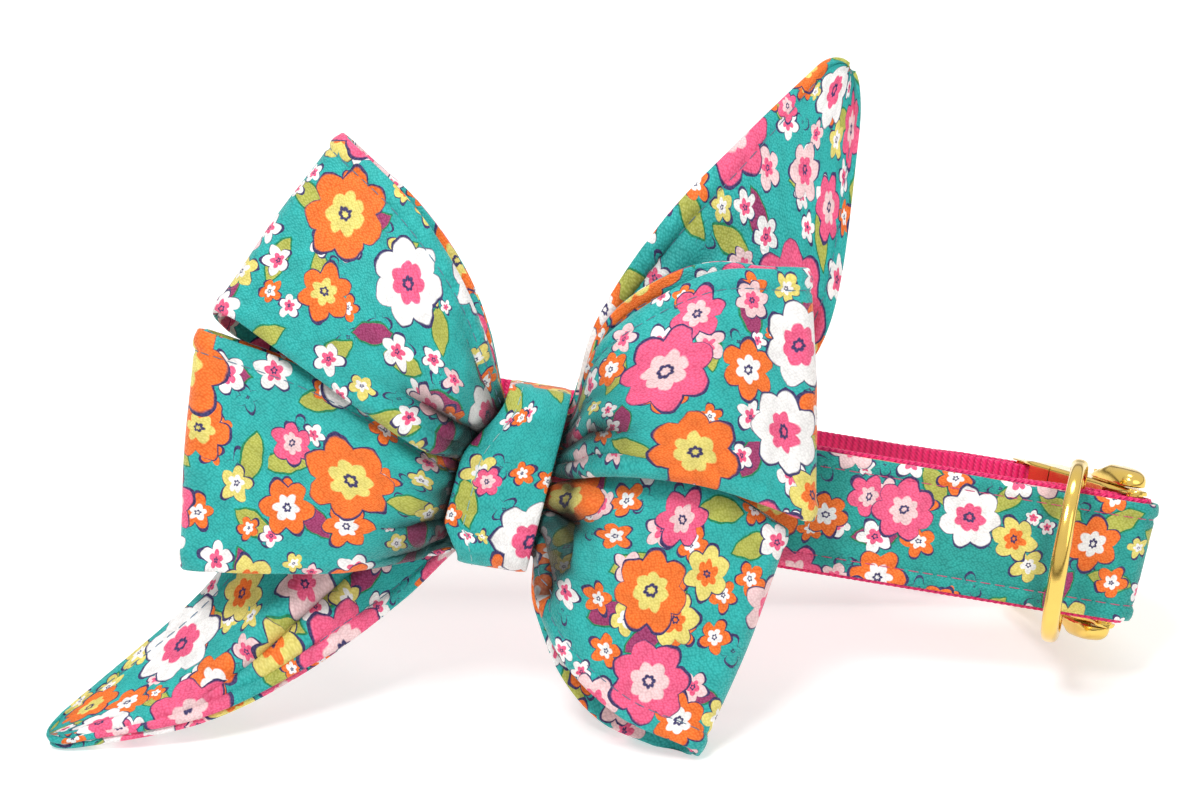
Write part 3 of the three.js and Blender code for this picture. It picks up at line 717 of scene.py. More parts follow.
def bow_tail(spec, sew):
    """A tail's Cloth, from the knot to its rounded tip."""
    w = columns(spec["width"], sew.seam * MM)
    tip = spec["tip"]
    turn = np.sin(np.linspace(0, math.pi / 2, TIP_ROWS + 1)[1:])
    u = np.concatenate([np.linspace(0, 1 - tip, TAIL_ROWS), 1 - tip + tip * turn])
    r = through(spec["rows"], u)
    upper, lower = r[:, None, 0:3], r[:, None, 3:6]
    narrow = (1 - np.clip((u - 1 + tip) / tip, 0, 1) ** TIP_CURVE) ** (1 / TIP_CURVE)
    reach = (w[None, :, None] - 0.5) * np.maximum(narrow, TIP_END)[:, None, None]
    grid = (upper + lower) / 2 + (lower - upper) * reach
    crown = r[:, None, 6] * (1 - (2 * w - 1) ** 2)
    push, dark = pleat_depth(u, w, spec, sew.gather)
    # between the loops and the strap there is no room for deep pleats
    push = np.clip(push, -0.1 - 9 * ease(u, 0.45, 1)[:, None], 0.5 + 9 * ease(u, 0.35, 0.9)[:, None])
    grid[..., 1] += push * (1 - ease(u, 0.9, 1))[:, None] - crown
    cloth = sewn_cloth(grid, w, spec, spec["thick"], sew, slice(20, 120))
    cloth.dark = dark
    return cloth


# Materials. Sizes in them are millimetres on the cloth, or metres in space for thread and metal.

FULL_TURN = 6.28  # radians


def add(tree, kind, links=None, stops=(), **settings):
    """Adds a node: its settings, the stops of a ramp, and for each input a value, node or output."""
    node = tree.nodes.new(kind)
    for name, value in settings.items():
        setattr(node, name, value)
    for k, (position, value) in enumerate(stops):
        ramp = node.color_ramp.elements
        stop = ramp[k] if k < 2 else ramp.new(position)
        stop.position, stop.color = position, value
    for slot, source in (links or {}).items():
        if isinstance(source, bpy.types.Node):
            source = next(o for o in source.outputs if o.enabled)
        if isinstance(source, bpy.types.NodeSocket):
            tree.links.new(source, node.inputs[slot])
        else:
            node.inputs[slot].default_value = source
    return node


def calc(tree, operation, *values):
    return add(tree, "ShaderNodeMath", dict(enumerate(values)), operation=operation)


def vector(tree, operation, *values):
    return add(tree, "ShaderNodeVectorMath", dict(enumerate(values)), operation=operation)


def scaled(tree, value, scale):
    """A vector or a colour times a number."""
    return add(tree, "ShaderNodeVectorMath", {0: value, "Scale": scale}, operation="SCALE")


def spread(tree, value, span=(0.0, 1.0), to=(0.0, 1.0)):
    """Takes a value from one span to another."""
    ends = {0: value, 1: span[0], 2: span[1], 3: to[0], 4: to[1]}
    return add(tree, "ShaderNodeMapRange", ends)


def noise(tree, at, scale, detail, dimensions="2D"):
    inputs = {"Vector": at, "Scale": scale, "Detail": detail}
    return add(tree, "ShaderNodeTexNoise", inputs, noise_dimensions=dimensions)


def bump(tree, height, strength, distance, **below):
    inputs = {"Height": height, "Strength": strength, "Distance": distance, **below}
    return add(tree, "ShaderNodeBump", inputs)


def picked(tree, chance, colours):
    """One of the colours, each with an even share of chance's span."""
    stops = [(k / len(colours), tuple(code)) for k, code in enumerate(colours)]
    ramp = add(tree, "ShaderNodeValToRGB", {0: chance}, stops=[*stops, (1.0, tuple(colours[-1]))])
    ramp.color_ramp.interpolation = "CONSTANT"
    return ramp


def paint(tree, share, shown, under, over):
    """Lays one colour over another by a share, where shown is 1."""
    share = calc(tree, "MULTIPLY", share, shown)
    return add(tree, "ShaderNodeMix", {0: share, 6: under, 7: over}, data_type="RGBA")


def cells(tree, at, pitch, shift, randomness):
    """Scattered cells: the inputs of their texture, three chances for each, places from its middle."""
    moved = vector(tree, "ADD", at, shift)
    inputs = {"Vector": moved, "Scale": 1 / pitch, "Randomness": randomness}
    cell = add(tree, "ShaderNodeTexVoronoi", inputs, voronoi_dimensions="2D").outputs
    chances = add(tree, "ShaderNodeSeparateColor", {"Color": cell["Color"]}).outputs
    return inputs, chances, vector(tree, "SUBTRACT", moved, cell["Position"])


def scatter(tree, at, ground, pitch, radius, petals, notch, colours, hearts, share, ink, shift):
    """Flowers scattered over the cloth, one to a cell, in a share of the cells.

    Each has petals that the notch parts, a drawn line round one side, a heart and an eye.
    """
    inputs, chances, local = cells(tree, at, pitch, (shift, shift * 1.7, 0), 0.8)
    room = add(tree, "ShaderNodeTexVoronoi", inputs, voronoi_dimensions="2D", feature="N_SPHERE_RADIUS")
    axes = add(tree, "ShaderNodeSeparateXYZ", {0: local}).outputs
    angle = calc(tree, "ARCTAN2", axes["Y"], axes["X"])
    turned = calc(tree, "MULTIPLY_ADD", chances[0], FULL_TURN, angle)
    wave = calc(tree, "COSINE", calc(tree, "MULTIPLY", turned, petals / 2))
    wave = calc(tree, "MULTIPLY_ADD", calc(tree, "ABSOLUTE", wave), notch, 1 - notch)
    size = calc(tree, "MULTIPLY", room.outputs["Radius"], pitch * 0.97)
    size = calc(tree, "MINIMUM", size, radius)
    away = vector(tree, "LENGTH", local).outputs["Value"]
    out = calc(tree, "DIVIDE", away, calc(tree, "MULTIPLY", wave, size))
    shown = calc(tree, "LESS_THAN", chances[1], share)
    # the drawn line is thick on one side of a flower and fades out on the other
    side = calc(tree, "COSINE", calc(tree, "MULTIPLY", turned, 2))
    side = calc(tree, "DIVIDE", calc(tree, "MULTIPLY_ADD", side, 0.3, 0.2), size)
    line = calc(tree, "LESS_THAN", out, calc(tree, "ADD", side, 1))
    now = paint(tree, line, shown, ground, ink)
    petal = spread(tree, out, (0.99, 0.95))
    now = paint(tree, petal, shown, now, picked(tree, chances[2], colours))
    heart = spread(tree, out, (0.5, 0.46))
    now = paint(tree, heart, shown, now, picked(tree, chances[2], hearts))
    # the eye is a drawn ring
    eye = calc(tree, "ABSOLUTE", calc(tree, "SUBTRACT", out, 0.13))
    return paint(tree, spread(tree, eye, (0.06, 0.03)), shown, now, ink)


def leaves(tree, at, ground, pitch, long, wide, colours, edge, share, shift):
    """Leaves scattered over the cloth, each a pointed oval with a drawn edge, turned its own way."""
    _, chances, local = cells(tree, at, pitch, (shift, shift * 0.6, 0), 0.7)
    turn = {"Vector": local, "Angle": calc(tree, "MULTIPLY", chances[0], FULL_TURN)}
    local = add(tree, "ShaderNodeVectorRotate", turn, rotation_type="Z_AXIS")
    axes = add(tree, "ShaderNodeSeparateXYZ", {0: local}).outputs
    along = calc(tree, "POWER", calc(tree, "DIVIDE", axes["X"], long), 2)
    hull = calc(tree, "SUBTRACT", wide, calc(tree, "MULTIPLY", wide, along))
    inside = calc(tree, "SUBTRACT", hull, calc(tree, "ABSOLUTE", axes["Y"]))
    shown = calc(tree, "LESS_THAN", chances[1], share)
    now = paint(tree, spread(tree, inside, (0.0, 0.12)), shown, ground, edge)
    return paint(tree, spread(tree, inside, (0.4, 0.5)), shown, now, picked(tree, chances[2], colours))


def printed_cotton(tree, ground, inks):
    """Cotton crepe, woven and screen printed with scattered flowers.

    The eye sees a matt cloth with a slight sheen, a fine pebbled grain and flat inks with soft edges.
    """
    line = tuple(inks.ink)
    flat = add(tree, "ShaderNodeUVMap", uv_map="Cloth")
    # ink edges wander by a quarter of a millimetre
    wander = noise(tree, flat, 0.3, 1.0).outputs["Color"]
    wander = scaled(tree, vector(tree, "SUBTRACT", wander, (0.5, 0.5, 0.5)), 1.1)
    at = vector(tree, "ADD", flat, wander)
    now = add(tree, "ShaderNodeRGB")
    now.outputs[0].default_value = tuple(ground)
    # flowers: pitch, radius, petals and notch; leaves: pitch, half length and half width
    now = scatter(tree, at, now, 11, 2.5, 4, 0.5, [ground], [ground], 0.55, line, 3)
    now = leaves(tree, at, now, 13, 5.2, 2.5, [inks.leaf, inks.leaf, inks.plum], srgb("#16895A"), 0.75, 11)
    small = [inks.white, inks.orange, inks.white, inks.blush, inks.yellow, inks.orange, inks.white]
    hearts = [inks.pink, inks.white, inks.pink, inks.pink, inks.white, inks.white, inks.pink]
    now = scatter(tree, at, now, 8.6, 3.7, 5, 0.42, small, hearts, 0.84, line, 23)
    middle = [inks.orange, inks.blush, inks.orange, inks.yellow, inks.pink, inks.orange]
    hearts = [inks.white, inks.pink, inks.yellow, inks.orange, inks.blush, inks.white]
    now = scatter(tree, at, now, 14.5, 5.8, 6, 0.32, middle, hearts, 0.7, line, 47)
    large = [inks.orange, inks.pink, inks.orange, inks.white, inks.pink]
    hearts = [inks.yellow, inks.blush, inks.yellow, inks.pink, inks.blush]
    now = scatter(tree, at, now, 26, 9.6, 7, 0.24, large, hearts, 0.92, line, 71)
    # the ink lies a little unevenly, over a few millimetres
    blot = spread(tree, noise(tree, flat, 0.3, 4.0), (0.3, 0.7), (0.86, 1.06))
    # crepe grain: slanting rows of pebbles 0.55 mm long and 0.45 mm wide
    grain = vector(tree, "ADD", flat, scaled(tree, wander, 0.5))
    rows = {"Vector": grain, "Rotation": (0, 0, 0.6), "Scale": (1.8, 2.3, 1)}
    grain = add(tree, "ShaderNodeMapping", rows)
    pebbles = {"Vector": grain, "Scale": 1.0, "Randomness": 0.7}
    grain = add(tree, "ShaderNodeTexVoronoi", pebbles, voronoi_dimensions="2D").outputs["Distance"]
    grain = spread(tree, grain, (0.75, 0.1))
    # painted shade and highlight: the base colour is lighter on the pebbles' tops and darker in the hollows
    # between them, times the ink's own unevenness
    shade = calc(tree, "MULTIPLY", spread(tree, grain, to=(0.88, 1.05)), blot)
    # painted shade: between the pebbles the colours also turn darker and deeper, dark ones the most
    deep = spread(tree, grain, to=(1.16, 0.9))
    now = add(tree, "ShaderNodeGamma", {"Color": now, "Gamma": deep})
    # little light reaches the cloth at the bottom of the pleats
    shut = add(tree, "ShaderNodeAttribute", attribute_name="Shut").outputs["Fac"]
    shade = calc(tree, "MULTIPLY", shade, spread(tree, shut, to=(1.0, 0.1)))
    return {
        "Base Color": scaled(tree, now, shade),
        "Roughness": spread(tree, grain, to=(0.72, 0.5)),
        "Normal": bump(tree, grain, 0.9, 0.0001),
        "Sheen Weight": 0.18,
        "Sheen Roughness": 0.4,
        "Specular IOR Level": 0.35,
    }


def polyester_thread(tree, tint):
    """Spun polyester thread, twisted: slightly glossy, with a fine slanting twist."""
    at = add(tree, "ShaderNodeTexCoord").outputs["Object"]
    # 0.36 mm between turns
    turns = {"Vector": at, "Scale": 1000, "Distortion": 1.0}
    turns = add(tree, "ShaderNodeTexWave", turns, bands_direction="DIAGONAL")
    return {
        "Base Color": scaled(tree, tuple(tint)[:3], spread(tree, turns, to=(0.75, 1.1))),
        "Roughness": 0.5,
        "Normal": bump(tree, turns, 0.4, 0.00005),
        "Sheen Weight": 0.2,
    }


def nylon_webbing(tree, strap):
    """Nylon webbing, woven and dyed: cross ribs of bundled yarn, slanting strands and a silky glint."""
    flat = add(tree, "ShaderNodeUVMap", uv_map="Cloth")
    axes = add(tree, "ShaderNodeSeparateXYZ", {0: flat}).outputs
    turn = calc(tree, "MULTIPLY", axes["X"], math.pi / (strap.rib * MM))
    ribs = calc(tree, "ABSOLUTE", calc(tree, "SINE", turn))
    # strands 0.6 mm apart slant across each rib
    slant = calc(tree, "MULTIPLY_ADD", axes["X"], 0.9, axes["Y"])
    strand = calc(tree, "SINE", calc(tree, "MULTIPLY", slant, 2 * math.pi / 0.8))
    height = calc(tree, "MULTIPLY_ADD", strand, 0.22, ribs)
    height = calc(tree, "MULTIPLY_ADD", noise(tree, flat, 3.5, 3.0), 0.25, height)
    tone = spread(tree, height, (0.0, 1.2), (0.68, 1.1))
    return {
        "Base Color": scaled(tree, tuple(strap.webbing)[:3], tone),
        "Roughness": spread(tree, height, to=(0.6, 0.38)),
        "Normal": bump(tree, height, 0.8, 0.0003),
        "Sheen Weight": 0.1,
        "Sheen Roughness": 0.3,
    }


def gold_metal(tree, metal):
    """Gold-coloured metal, cast and polished: soft-edged reflections and hair-fine polishing marks."""
    at = add(tree, "ShaderNodeTexCoord").outputs["Object"]
    # polishing marks 0.15 mm apart and 3 mm long
    grain = add(tree, "ShaderNodeMapping", {"Vector": at, "Scale": (330, 330, 6600)})
    marks = noise(tree, grain, 1.0, 3.0, "3D")
    # a cast surface wavers over 4 mm
    waver = noise(tree, at, 250.0, 1.0, "3D")
    wear = spread(tree, waver, (0.3, 0.7), (0.93, 1.0))
    cast = bump(tree, waver, 0.25, 0.0002)
    return {
        "Base Color": scaled(tree, tuple(metal.gold)[:3], wear),
        "Metallic": 1.0,
        "Roughness": spread(tree, marks, (0.3, 0.7), (metal.polish - 0.04, metal.polish + 0.08)),
        "Normal": bump(tree, marks, 0.1, 0.00003, Normal=cast),
    }


def opal_acrylic(tree, stage):
    """Opal acrylic, cast and matt: a light table, its glow thinning the shadows that fall on it."""
    waver = add(tree, "ShaderNodeTexNoise", {"Scale": 5.0, "Detail": 1.0})
    return {
        "Base Color": scaled(tree, tuple(stage.floor)[:3], spread(tree, waver, to=(0.99, 1.0))),
        "Roughness": 0.9,
        "Specular IOR Level": 0.1,
        "Emission Color": (1, 1, 1, 1),
        "Emission Strength": stage.glow,
    }


def made(name, surface, *settings):
    """The material of a name, made the first time by a function that returns its shader's inputs."""
    if name not in bpy.data.materials:
        material = bpy.data.materials.new(name)
        material.use_nodes = True
        tree = material.node_tree
        tree.nodes.clear()
        shader = add(tree, "ShaderNodeBsdfPrincipled", surface(tree, *settings))
        add(tree, "ShaderNodeOutputMaterial", {"Surface": shader})
    return bpy.data.materials[name]


# Operators


def sew_lines(cloth, faces=(True, False)):
    """The topstitching's lines on a Cloth, along its sewn edges on its outer and inner faces."""
    inset = cloth.seam / cloth.width
    places = [inset if side == 0 else 1 - inset for side in cloth.sewn]
    return [cloth.face_line(w, outer) for w in places for outer in faces]


def sew_bow(context, name, cloth, bare, **sheet):
    """Makes a loop or a tail of the bow. bare is how many rows at each end have no topstitching."""
    sew = context.scene.bow_collar_cotton
    cotton = made("Cotton crepe, printed, bow", printed_cotton, sew.bow_ground, sew)
    thread = made("Polyester thread, bow", polyester_thread, sew.bow_thread)
    rows = slice(bare[0], len(cloth.middle) - bare[1])
    lines = [(p[rows], n[rows]) for p, n in sew_lines(cloth)]
    sewn = stitches(name + "_stitches", lines, thread, sew)
    sheet.update({"held": "gathered", "rests_on": ["bow_knot_band"], "with_pieces": [sewn]})
    sew_up(name, cloth, cotton, [*LOOPS, *TAILS].index(name), **sheet)


class COLLAR_OT_bow_loops(Operator):
    """Builds the four loops of the bow with their topstitching"""

    bl_idname = "collar.bow_loops"
    bl_label = "Bow Loops"

    def execute(self, context):
        for name, spec in LOOPS.items():
            cloth = bow_loop(spec, context.scene.bow_collar_cotton)
            flat = (spec["width"] / MM * LOOP_EASE, LOOP_LENGTH)
            sew_bow(context, name, cloth, (14, 12), flat=flat)
        return {"FINISHED"}


class COLLAR_OT_bow_tails(Operator):
    """Builds the two pointed tails of the bow with their topstitching"""

    bl_idname = "collar.bow_tails"
    bl_label = "Bow Tails"

    def execute(self, context):
        for name, spec in TAILS.items():
            cloth = bow_tail(spec, context.scene.bow_collar_cotton)
            area = spec["flat"][0] * spec["flat"][1] * TAIL_FILL
            sew_bow(context, name, cloth, (26, 13), flat=spec["flat"], area=area)
        return {"FINISHED"}


def rounded_run(corners, step):
    """A closed outline through arcs (centre x, y, radius, from, to in degrees), evenly spaced."""
    points = [p for corner in corners for p in arc(*corner, 24)]
    points = np.array(points + points[:1])
    along = distance_along(points)
    count = max(8, round(along[-1] / step))
    return sample(np.linspace(0, along[-1], count, endpoint=False), along, points)


class COLLAR_OT_knot_band(Operator):
    """Builds the band that closes round the gathered bow and the strap"""

    bl_idname = "collar.knot_band"
    bl_label = "Knot Band"

    def execute(self, context):
        sew = context.scene.bow_collar_cotton
        front, back, bottom, top, corner = KNOT.values()
        tight = corner / 2
        corners = [
            (front + corner, top - corner, corner, 90, 180),
            (front + corner, bottom + corner, corner, 180, 270),
            (back - tight, bottom + tight, tight, 270, 360),
            (back - tight, top - tight, tight, 0, 90),
        ]
        outline = rounded_run(corners, step=0.5)
        y, z = outline[:, 0:1], outline[:, 1:2]
        w = columns(KNOT_WIDTH, KNOT_CLOTH, fine=0.3, coarse=0.35)
        t = (z - bottom) / (top - bottom)
        facing = ease(-y, -front - 5, -front)  # 1 on the front of the band
        left, right = knot_edges(z)
        x = left + (right - left) * w
        crease = 0.3 * np.sin(1.3 * z + 4 * w) * bell(t, 0.16, 0.12)
        bow = 0.2 * np.sin(math.pi * t) * facing + 0.3 * (2 * w - 1) ** 2 * facing
        grid = np.stack([x, y + (bow + crease * facing), z + 0 * w], axis=2)
        flip = normals(grid, True)[len(grid) // 4][len(w) // 2][1] > 0
        cloth = Cloth(grid, w, KNOT_WIDTH, KNOT_CLOTH, closed=True, flip=flip)
        cotton = made("Cotton crepe, printed, bow", printed_cotton, sew.bow_ground, sew)
        thread = made("Polyester thread, knot", polyester_thread, srgb("#8FC9C8"))
        p, n = cloth.face_line(KNOT_SEAM)
        sewn = stitches("bow_knot_band_stitches", [(p[KNOT_SEWN], n[KNOT_SEWN])], thread, sew)
        under = ["bow_loop_upper_left", "bow_loop_upper_right", "strap_webbing"]
        sheet = {"flat": KNOT_FLAT, "held": "stretched", "rests_on": under}
        sew_up("bow_knot_band", cloth, cotton, 6, with_pieces=[sewn], **sheet)
        return {"FINISHED"}


# The strap's route seen from above
STITCH_X, RING_X, BAR_X = 103, 112, 122
LEFT_END, LOOP_DEPTH, BACK_BAR_X, BACK_STITCH_X = -19, 38, 105, 84
FOLD = 2.9  # radius of the webbing's middle round a buckle bar
COVER_OUT = 1.65  # cover's middle beyond the webbing's
COVER_THICK = 1.0
COVER_TURN = 0.3  # what the folds at the cover's edges take up
WEBBING_FLAT, COVER_FLAT = (0.0254, 0.327), (0.0244, 0.287)  # metres laid flat
DOUBLED = 2.1  # between the middles of two sewn layers
TWIST, TWIST_SPAN, TWIST_FOOT = 0.07, (104, 119), -11  # slope, where along it sets in, still height
ROUTE_STEP = 0.2
ROUTE_ROUNDS = 14  # of smoothing, which takes the corners off where the strap bends


def strap_route(offset, back):
    """Points of the strap's route in plan, from its sewn front end to the points in back."""
    points = [(STITCH_X - 2, DOUBLED + offset), (STITCH_X + 0.4, DOUBLED + offset)]
    points += [(RING_X - 2.5, 2 * FOLD + offset), (BAR_X, 2 * FOLD + offset)]
    points += arc(BAR_X, FOLD, FOLD + offset, 90, -90, 40)[1:]
    points.append((LEFT_END, -offset))
    half = LOOP_DEPTH / 2
    points += arc(LEFT_END, half, half + offset, 270, 90, 90)[1:]
    points = np.array(points + back)
    along = distance_along(points)
    count = round(along[-1] / ROUTE_STEP) + 1
    fine = sample(np.linspace(0, along[-1], count), along, points)
    for _ in range(ROUTE_ROUNDS):
        fine[1:-1] = (fine[:-2] + 2 * fine[1:-1] + fine[2:]) / 4
    return fine


def twist(points):
    """Leans the buckle's end of the collar: its upper edge reaches a little further."""
    points = np.array(points, float)
    lean = ease(points[..., 0], *TWIST_SPAN) * TWIST
    points[..., 0] += lean * (points[..., 2] - TWIST_FOOT)
    return points


def strap_grid(route, step, w, half):
    """Rows of middle points up the strap at each step along its route, and where the rows lie."""
    along = distance_along(route)
    at = np.linspace(0, along[-1], round(along[-1] / step) + 1)
    plan = sample(at, along, route)
    z = (2 * w - 1)[None, :] * half + np.zeros((len(at), 1))
    return np.stack([plan[:, 0:1] + 0 * z, plan[:, 1:2] + 0 * z, z], axis=2), at


class COLLAR_OT_strap(Operator):
    """Builds the woven strap and the printed cover sewn to its outside"""

    bl_idname = "collar.strap"
    bl_label = "Strap"

    def execute(self, context):
        sew = context.scene.bow_collar_cotton
        strap = context.scene.bow_collar_strap
        width, thick = strap.width * MM, strap.thick * MM
        # webbing
        back = [(BACK_BAR_X, LOOP_DEPTH), *arc(BACK_BAR_X, LOOP_DEPTH + FOLD, FOLD, -90, 90, 30)[1:]]
        back += [(BACK_STITCH_X + 8, LOOP_DEPTH + 2 * FOLD), (BACK_STITCH_X + 2, LOOP_DEPTH + DOUBLED)]
        back.append((BACK_STITCH_X - 3, LOOP_DEPTH + DOUBLED))
        w = np.concatenate([np.linspace(0, 0.06, 4), np.linspace(0.1, 0.9, 15), np.linspace(0.94, 1, 4)])
        grid, at = strap_grid(strap_route(0, back), 0.4, w, width / 2 - thick * 0.3)
        scallop = 0.12 * abs(np.sin(math.pi * at / (strap.rib * MM))) - 0.06
        grid[..., 2] += scallop[:, None] * (2 * w - 1)
        cloth = Cloth(twist(grid), w, width, thick)
        webbing = made("Nylon webbing, woven", nylon_webbing, strap)
        sheet = {"flat": WEBBING_FLAT, "held": "folded", "rests_on": ["buckle_socket", "buckle_tongue"]}
        sew_up("strap_webbing", cloth, webbing, 0, slot="nylon_webbing", **sheet)
        # printed cover
        route = strap_route(COVER_OUT, [(BACK_STITCH_X - 5, LOOP_DEPTH + COVER_OUT)])
        cover_width = width - 2 * strap.cover_inset * MM
        seam = sew.seam * MM - COVER_TURN
        w = columns(cover_width, seam, fine=0.4, coarse=1.2)
        grid, _ = strap_grid(route, 0.6, w, cover_width / 2 - COVER_TURN)
        left = int(np.argmin(grid[:, 0, 0]))
        flip = normals(grid)[left, 0, 0] > 0
        edges = {"seam": seam, "groove": 0.3, "pipe": 0.36, "pucker": 0.12}
        cloth = Cloth(twist(grid), w, cover_width, COVER_THICK, flip=flip, **edges)
        # painted shade beside the ring's bar, where the cover dips between two rows of sewing; the mesh
        # itself stays flat there
        dip = bell(grid[..., 0] - RING_AT[0], -5, 1.7)
        cloth.dark = np.where(grid[..., 1] < RING_AT[1], 0.45 * dip, 0)
        cotton = made("Cotton crepe, printed, strap", printed_cotton, sew.strap_ground, sew)
        thread = made("Polyester thread, strap", polyester_thread, sew.strap_thread)
        sewn = stitches("strap_cover_stitches", sew_lines(cloth, faces=(True,)), thread, sew)
        sheet = {"flat": COVER_FLAT, "held": "stretched", "rests_on": ["strap_webbing"]}
        sew_up("strap_cover", cloth, cotton, 7, with_pieces=[sewn], **sheet)
        return {"FINISHED"}


# Buckle, in millimetres: along its arc from the front bar, out from the arc, and up
BUCKLE_BEND = math.radians(14)
FRONT_BAR = np.array([BAR_X, FOLD])
BACK_BAR = np.array([BACK_BAR_X, LOOP_DEPTH + FOLD])
CHORD = BACK_BAR - FRONT_BAR
BUCKLE_RADIUS = np.linalg.norm(CHORD) / 2 / math.sin(BUCKLE_BEND / 2)
BUCKLE_LENGTH = BUCKLE_RADIUS * BUCKLE_BEND
SQUARE = np.array([-CHORD[1], CHORD[0]]) / np.linalg.norm(CHORD)
BUCKLE_CENTRE = (FRONT_BAR + BACK_BAR) / 2 + SQUARE * BUCKLE_RADIUS * math.cos(BUCKLE_BEND / 2)
BUCKLE_THICK, BUCKLE_HALF = 7.4, 14
BAR_RADIUS, BAR_END = 1.7, 1.1
STRAP_ROOM = 13.1  # half height of the openings for the strap
WINDOW = 7.2  # clear length beside each bar
BRIDGE = 3  # length of the wall between the front opening and the mouth
SOCKET_END = BUCKLE_LENGTH * 0.66
MOUTH, MOUTH_HALF = 2.2, 11.6  # half sizes of the socket's mouth
PLATE, PLATE_HALF = 1.8, 9.4  # half sizes of the tongue's plate
SHANK = (9.2, 15.4, 2.0, 9.8)  # of a button: from, to, half thickness, lowest height
SLACK = 0.6  # between a button's shank and its slot
CELL = 2  # length of the skin's faces along the buckle
EDGE_ROUND, TIP_ROUND = 0.7, 2.1  # radii of the cast body's long edges and of its ends
CAST_EDGE = 0.0002  # metres that the remaining edges are rounded by
BUTTON = {"start": 0.2, "long": 16.2, "thick": 7, "rise": 3.4, "foot": 0.25}
BUTTON_SIDES, BUTTON_LEVELS = 56, 16


def on_buckle(along, out, z):
    """Points of the collar frame from the buckle's own measures."""
    first = math.atan2(*(FRONT_BAR - BUCKLE_CENTRE)[::-1])
    a = first + np.asarray(along) / BUCKLE_RADIUS
    r = BUCKLE_RADIUS + np.asarray(out)
    flat = [BUCKLE_CENTRE[0] + r * np.cos(a), BUCKLE_CENTRE[1] + r * np.sin(a), z + 0 * r]
    return np.stack(np.broadcast_arrays(*flat), axis=-1)


def breaks(low, high, marks=()):
    """Evenly filled breaks from low to high that pass through every mark."""
    stops = sorted({low, high, *[m for m in marks if low < m < high]})
    out = [low]
    for a, b in zip(stops, stops[1:]):
        out += list(np.linspace(a, b, max(1, round((b - a) / CELL)) + 1)[1:])
    return np.array(out)


def cage(spans, solid=lambda a, o, z: a > 0):
    """Points and faces of the skin of the filled cells of a grid: solid takes the cells' centres."""
    a, o, z = spans
    centres = np.meshgrid(*[(s[1:] + s[:-1]) / 2 for s in spans], indexing="ij")
    full = np.pad(solid(*centres), 1)
    shape = (len(a), len(o), len(z))
    faces = []
    for axis in range(3):
        for way in (0, 1):
            beside = np.roll(full, -1 if way else 1, axis=axis)
            for cell in np.argwhere(full & ~beside) - 1:
                cell[axis] += way
                quad = []
                for step in ((0, 0), (1, 0), (1, 1), (0, 1)):
                    corner = cell.copy()
                    corner[[(axis + 1) % 3, (axis + 2) % 3]] += step
                    quad.append(np.ravel_multi_index(tuple(corner), shape))
                faces.append(quad if way else quad[::-1])
    used, faces = np.unique(np.array(faces), return_inverse=True)
    i, j, k = np.unravel_index(used, shape)
    return a[i], o[j], z[k], faces.reshape(-1, 4).tolist()


def buckle_half(solid, low, high, front):
    """The cast body of half of the buckle, round at its bar's end and along its edges."""
    full = BUCKLE_THICK / 2
    tip = low if front else high
    near = [tip + (d if front else -d) for d in (0.05, 0.2, 0.5, 0.9, 1.5, 2.4)]
    slot = [SHANK[0] - SLACK, SHANK[1] + SLACK]
    marks = [WINDOW, WINDOW + BRIDGE, *slot, BUCKLE_LENGTH - WINDOW, *near]
    levels = (BUCKLE_HALF, 13.93, 13.72, 13.4, STRAP_ROOM, MOUTH_HALF, 8, 4, 0)
    spans = (
        breaks(low, high, marks),
        np.array([-full, -2.9, -MOUTH, 0, MOUTH, 2.9, full]),
        np.unique([side * level for side in (-1, 1) for level in levels]),
    )
    a, o, z, faces = cage(spans, solid)
    thick = full * (1 - 0.42 * ease(-abs(a - tip), -WINDOW - 2.4, -WINDOW + 2.6))
    edge = np.minimum(BUCKLE_HALF - abs(z), EDGE_ROUND)
    outer = thick - EDGE_ROUND + np.sqrt(np.maximum(EDGE_ROUND**2 - (EDGE_ROUND - edge) ** 2, 0))
    inner = np.minimum(MOUTH, thick - 0.9)
    past = np.clip((abs(o) - MOUTH) / (full - MOUTH), 0, 1)
    o = np.where(past > 0, np.sign(o) * (inner + past * (outer - inner)), o * inner / MOUTH)
    from_tip = np.minimum(abs(a - tip), TIP_ROUND)
    o = o * np.sqrt(np.maximum(1 - ((TIP_ROUND - from_tip) / TIP_ROUND) ** 2, 0.02))
    if not front:  # the tongue's arms come down to the strap's edge
        arm = np.maximum(abs(z) - STRAP_ROOM, 0) * 0.7 * ease(a, high - 10, high - 4)
        z = z - np.sign(z) * arm
    return on_buckle(a, o, z), faces


def rod(middle, half, radius, sides=24):
    """An upright rod with rounded ends about a point of the plan."""
    profile = [(0, -half), (radius * 0.8, -half), (radius, -half + 0.3), (radius, half - 0.3)]
    profile += [(radius * 0.8, half), (0, half)]
    turns = [2 * math.pi * k / sides for k in range(sides)]
    points = [(r * math.cos(t), r * math.sin(t), z) for r, z in profile for t in turns]
    return np.array(points) + (*middle, 0), tube(len(profile), sides)


def together(*parts):
    """Points and faces of several shapes as one."""
    points, faces = [], []
    for p, f in parts:
        base = sum(len(q) for q in points)
        points.append(p)
        faces += [[base + i for i in face] for face in f]
    return np.concatenate(points), faces


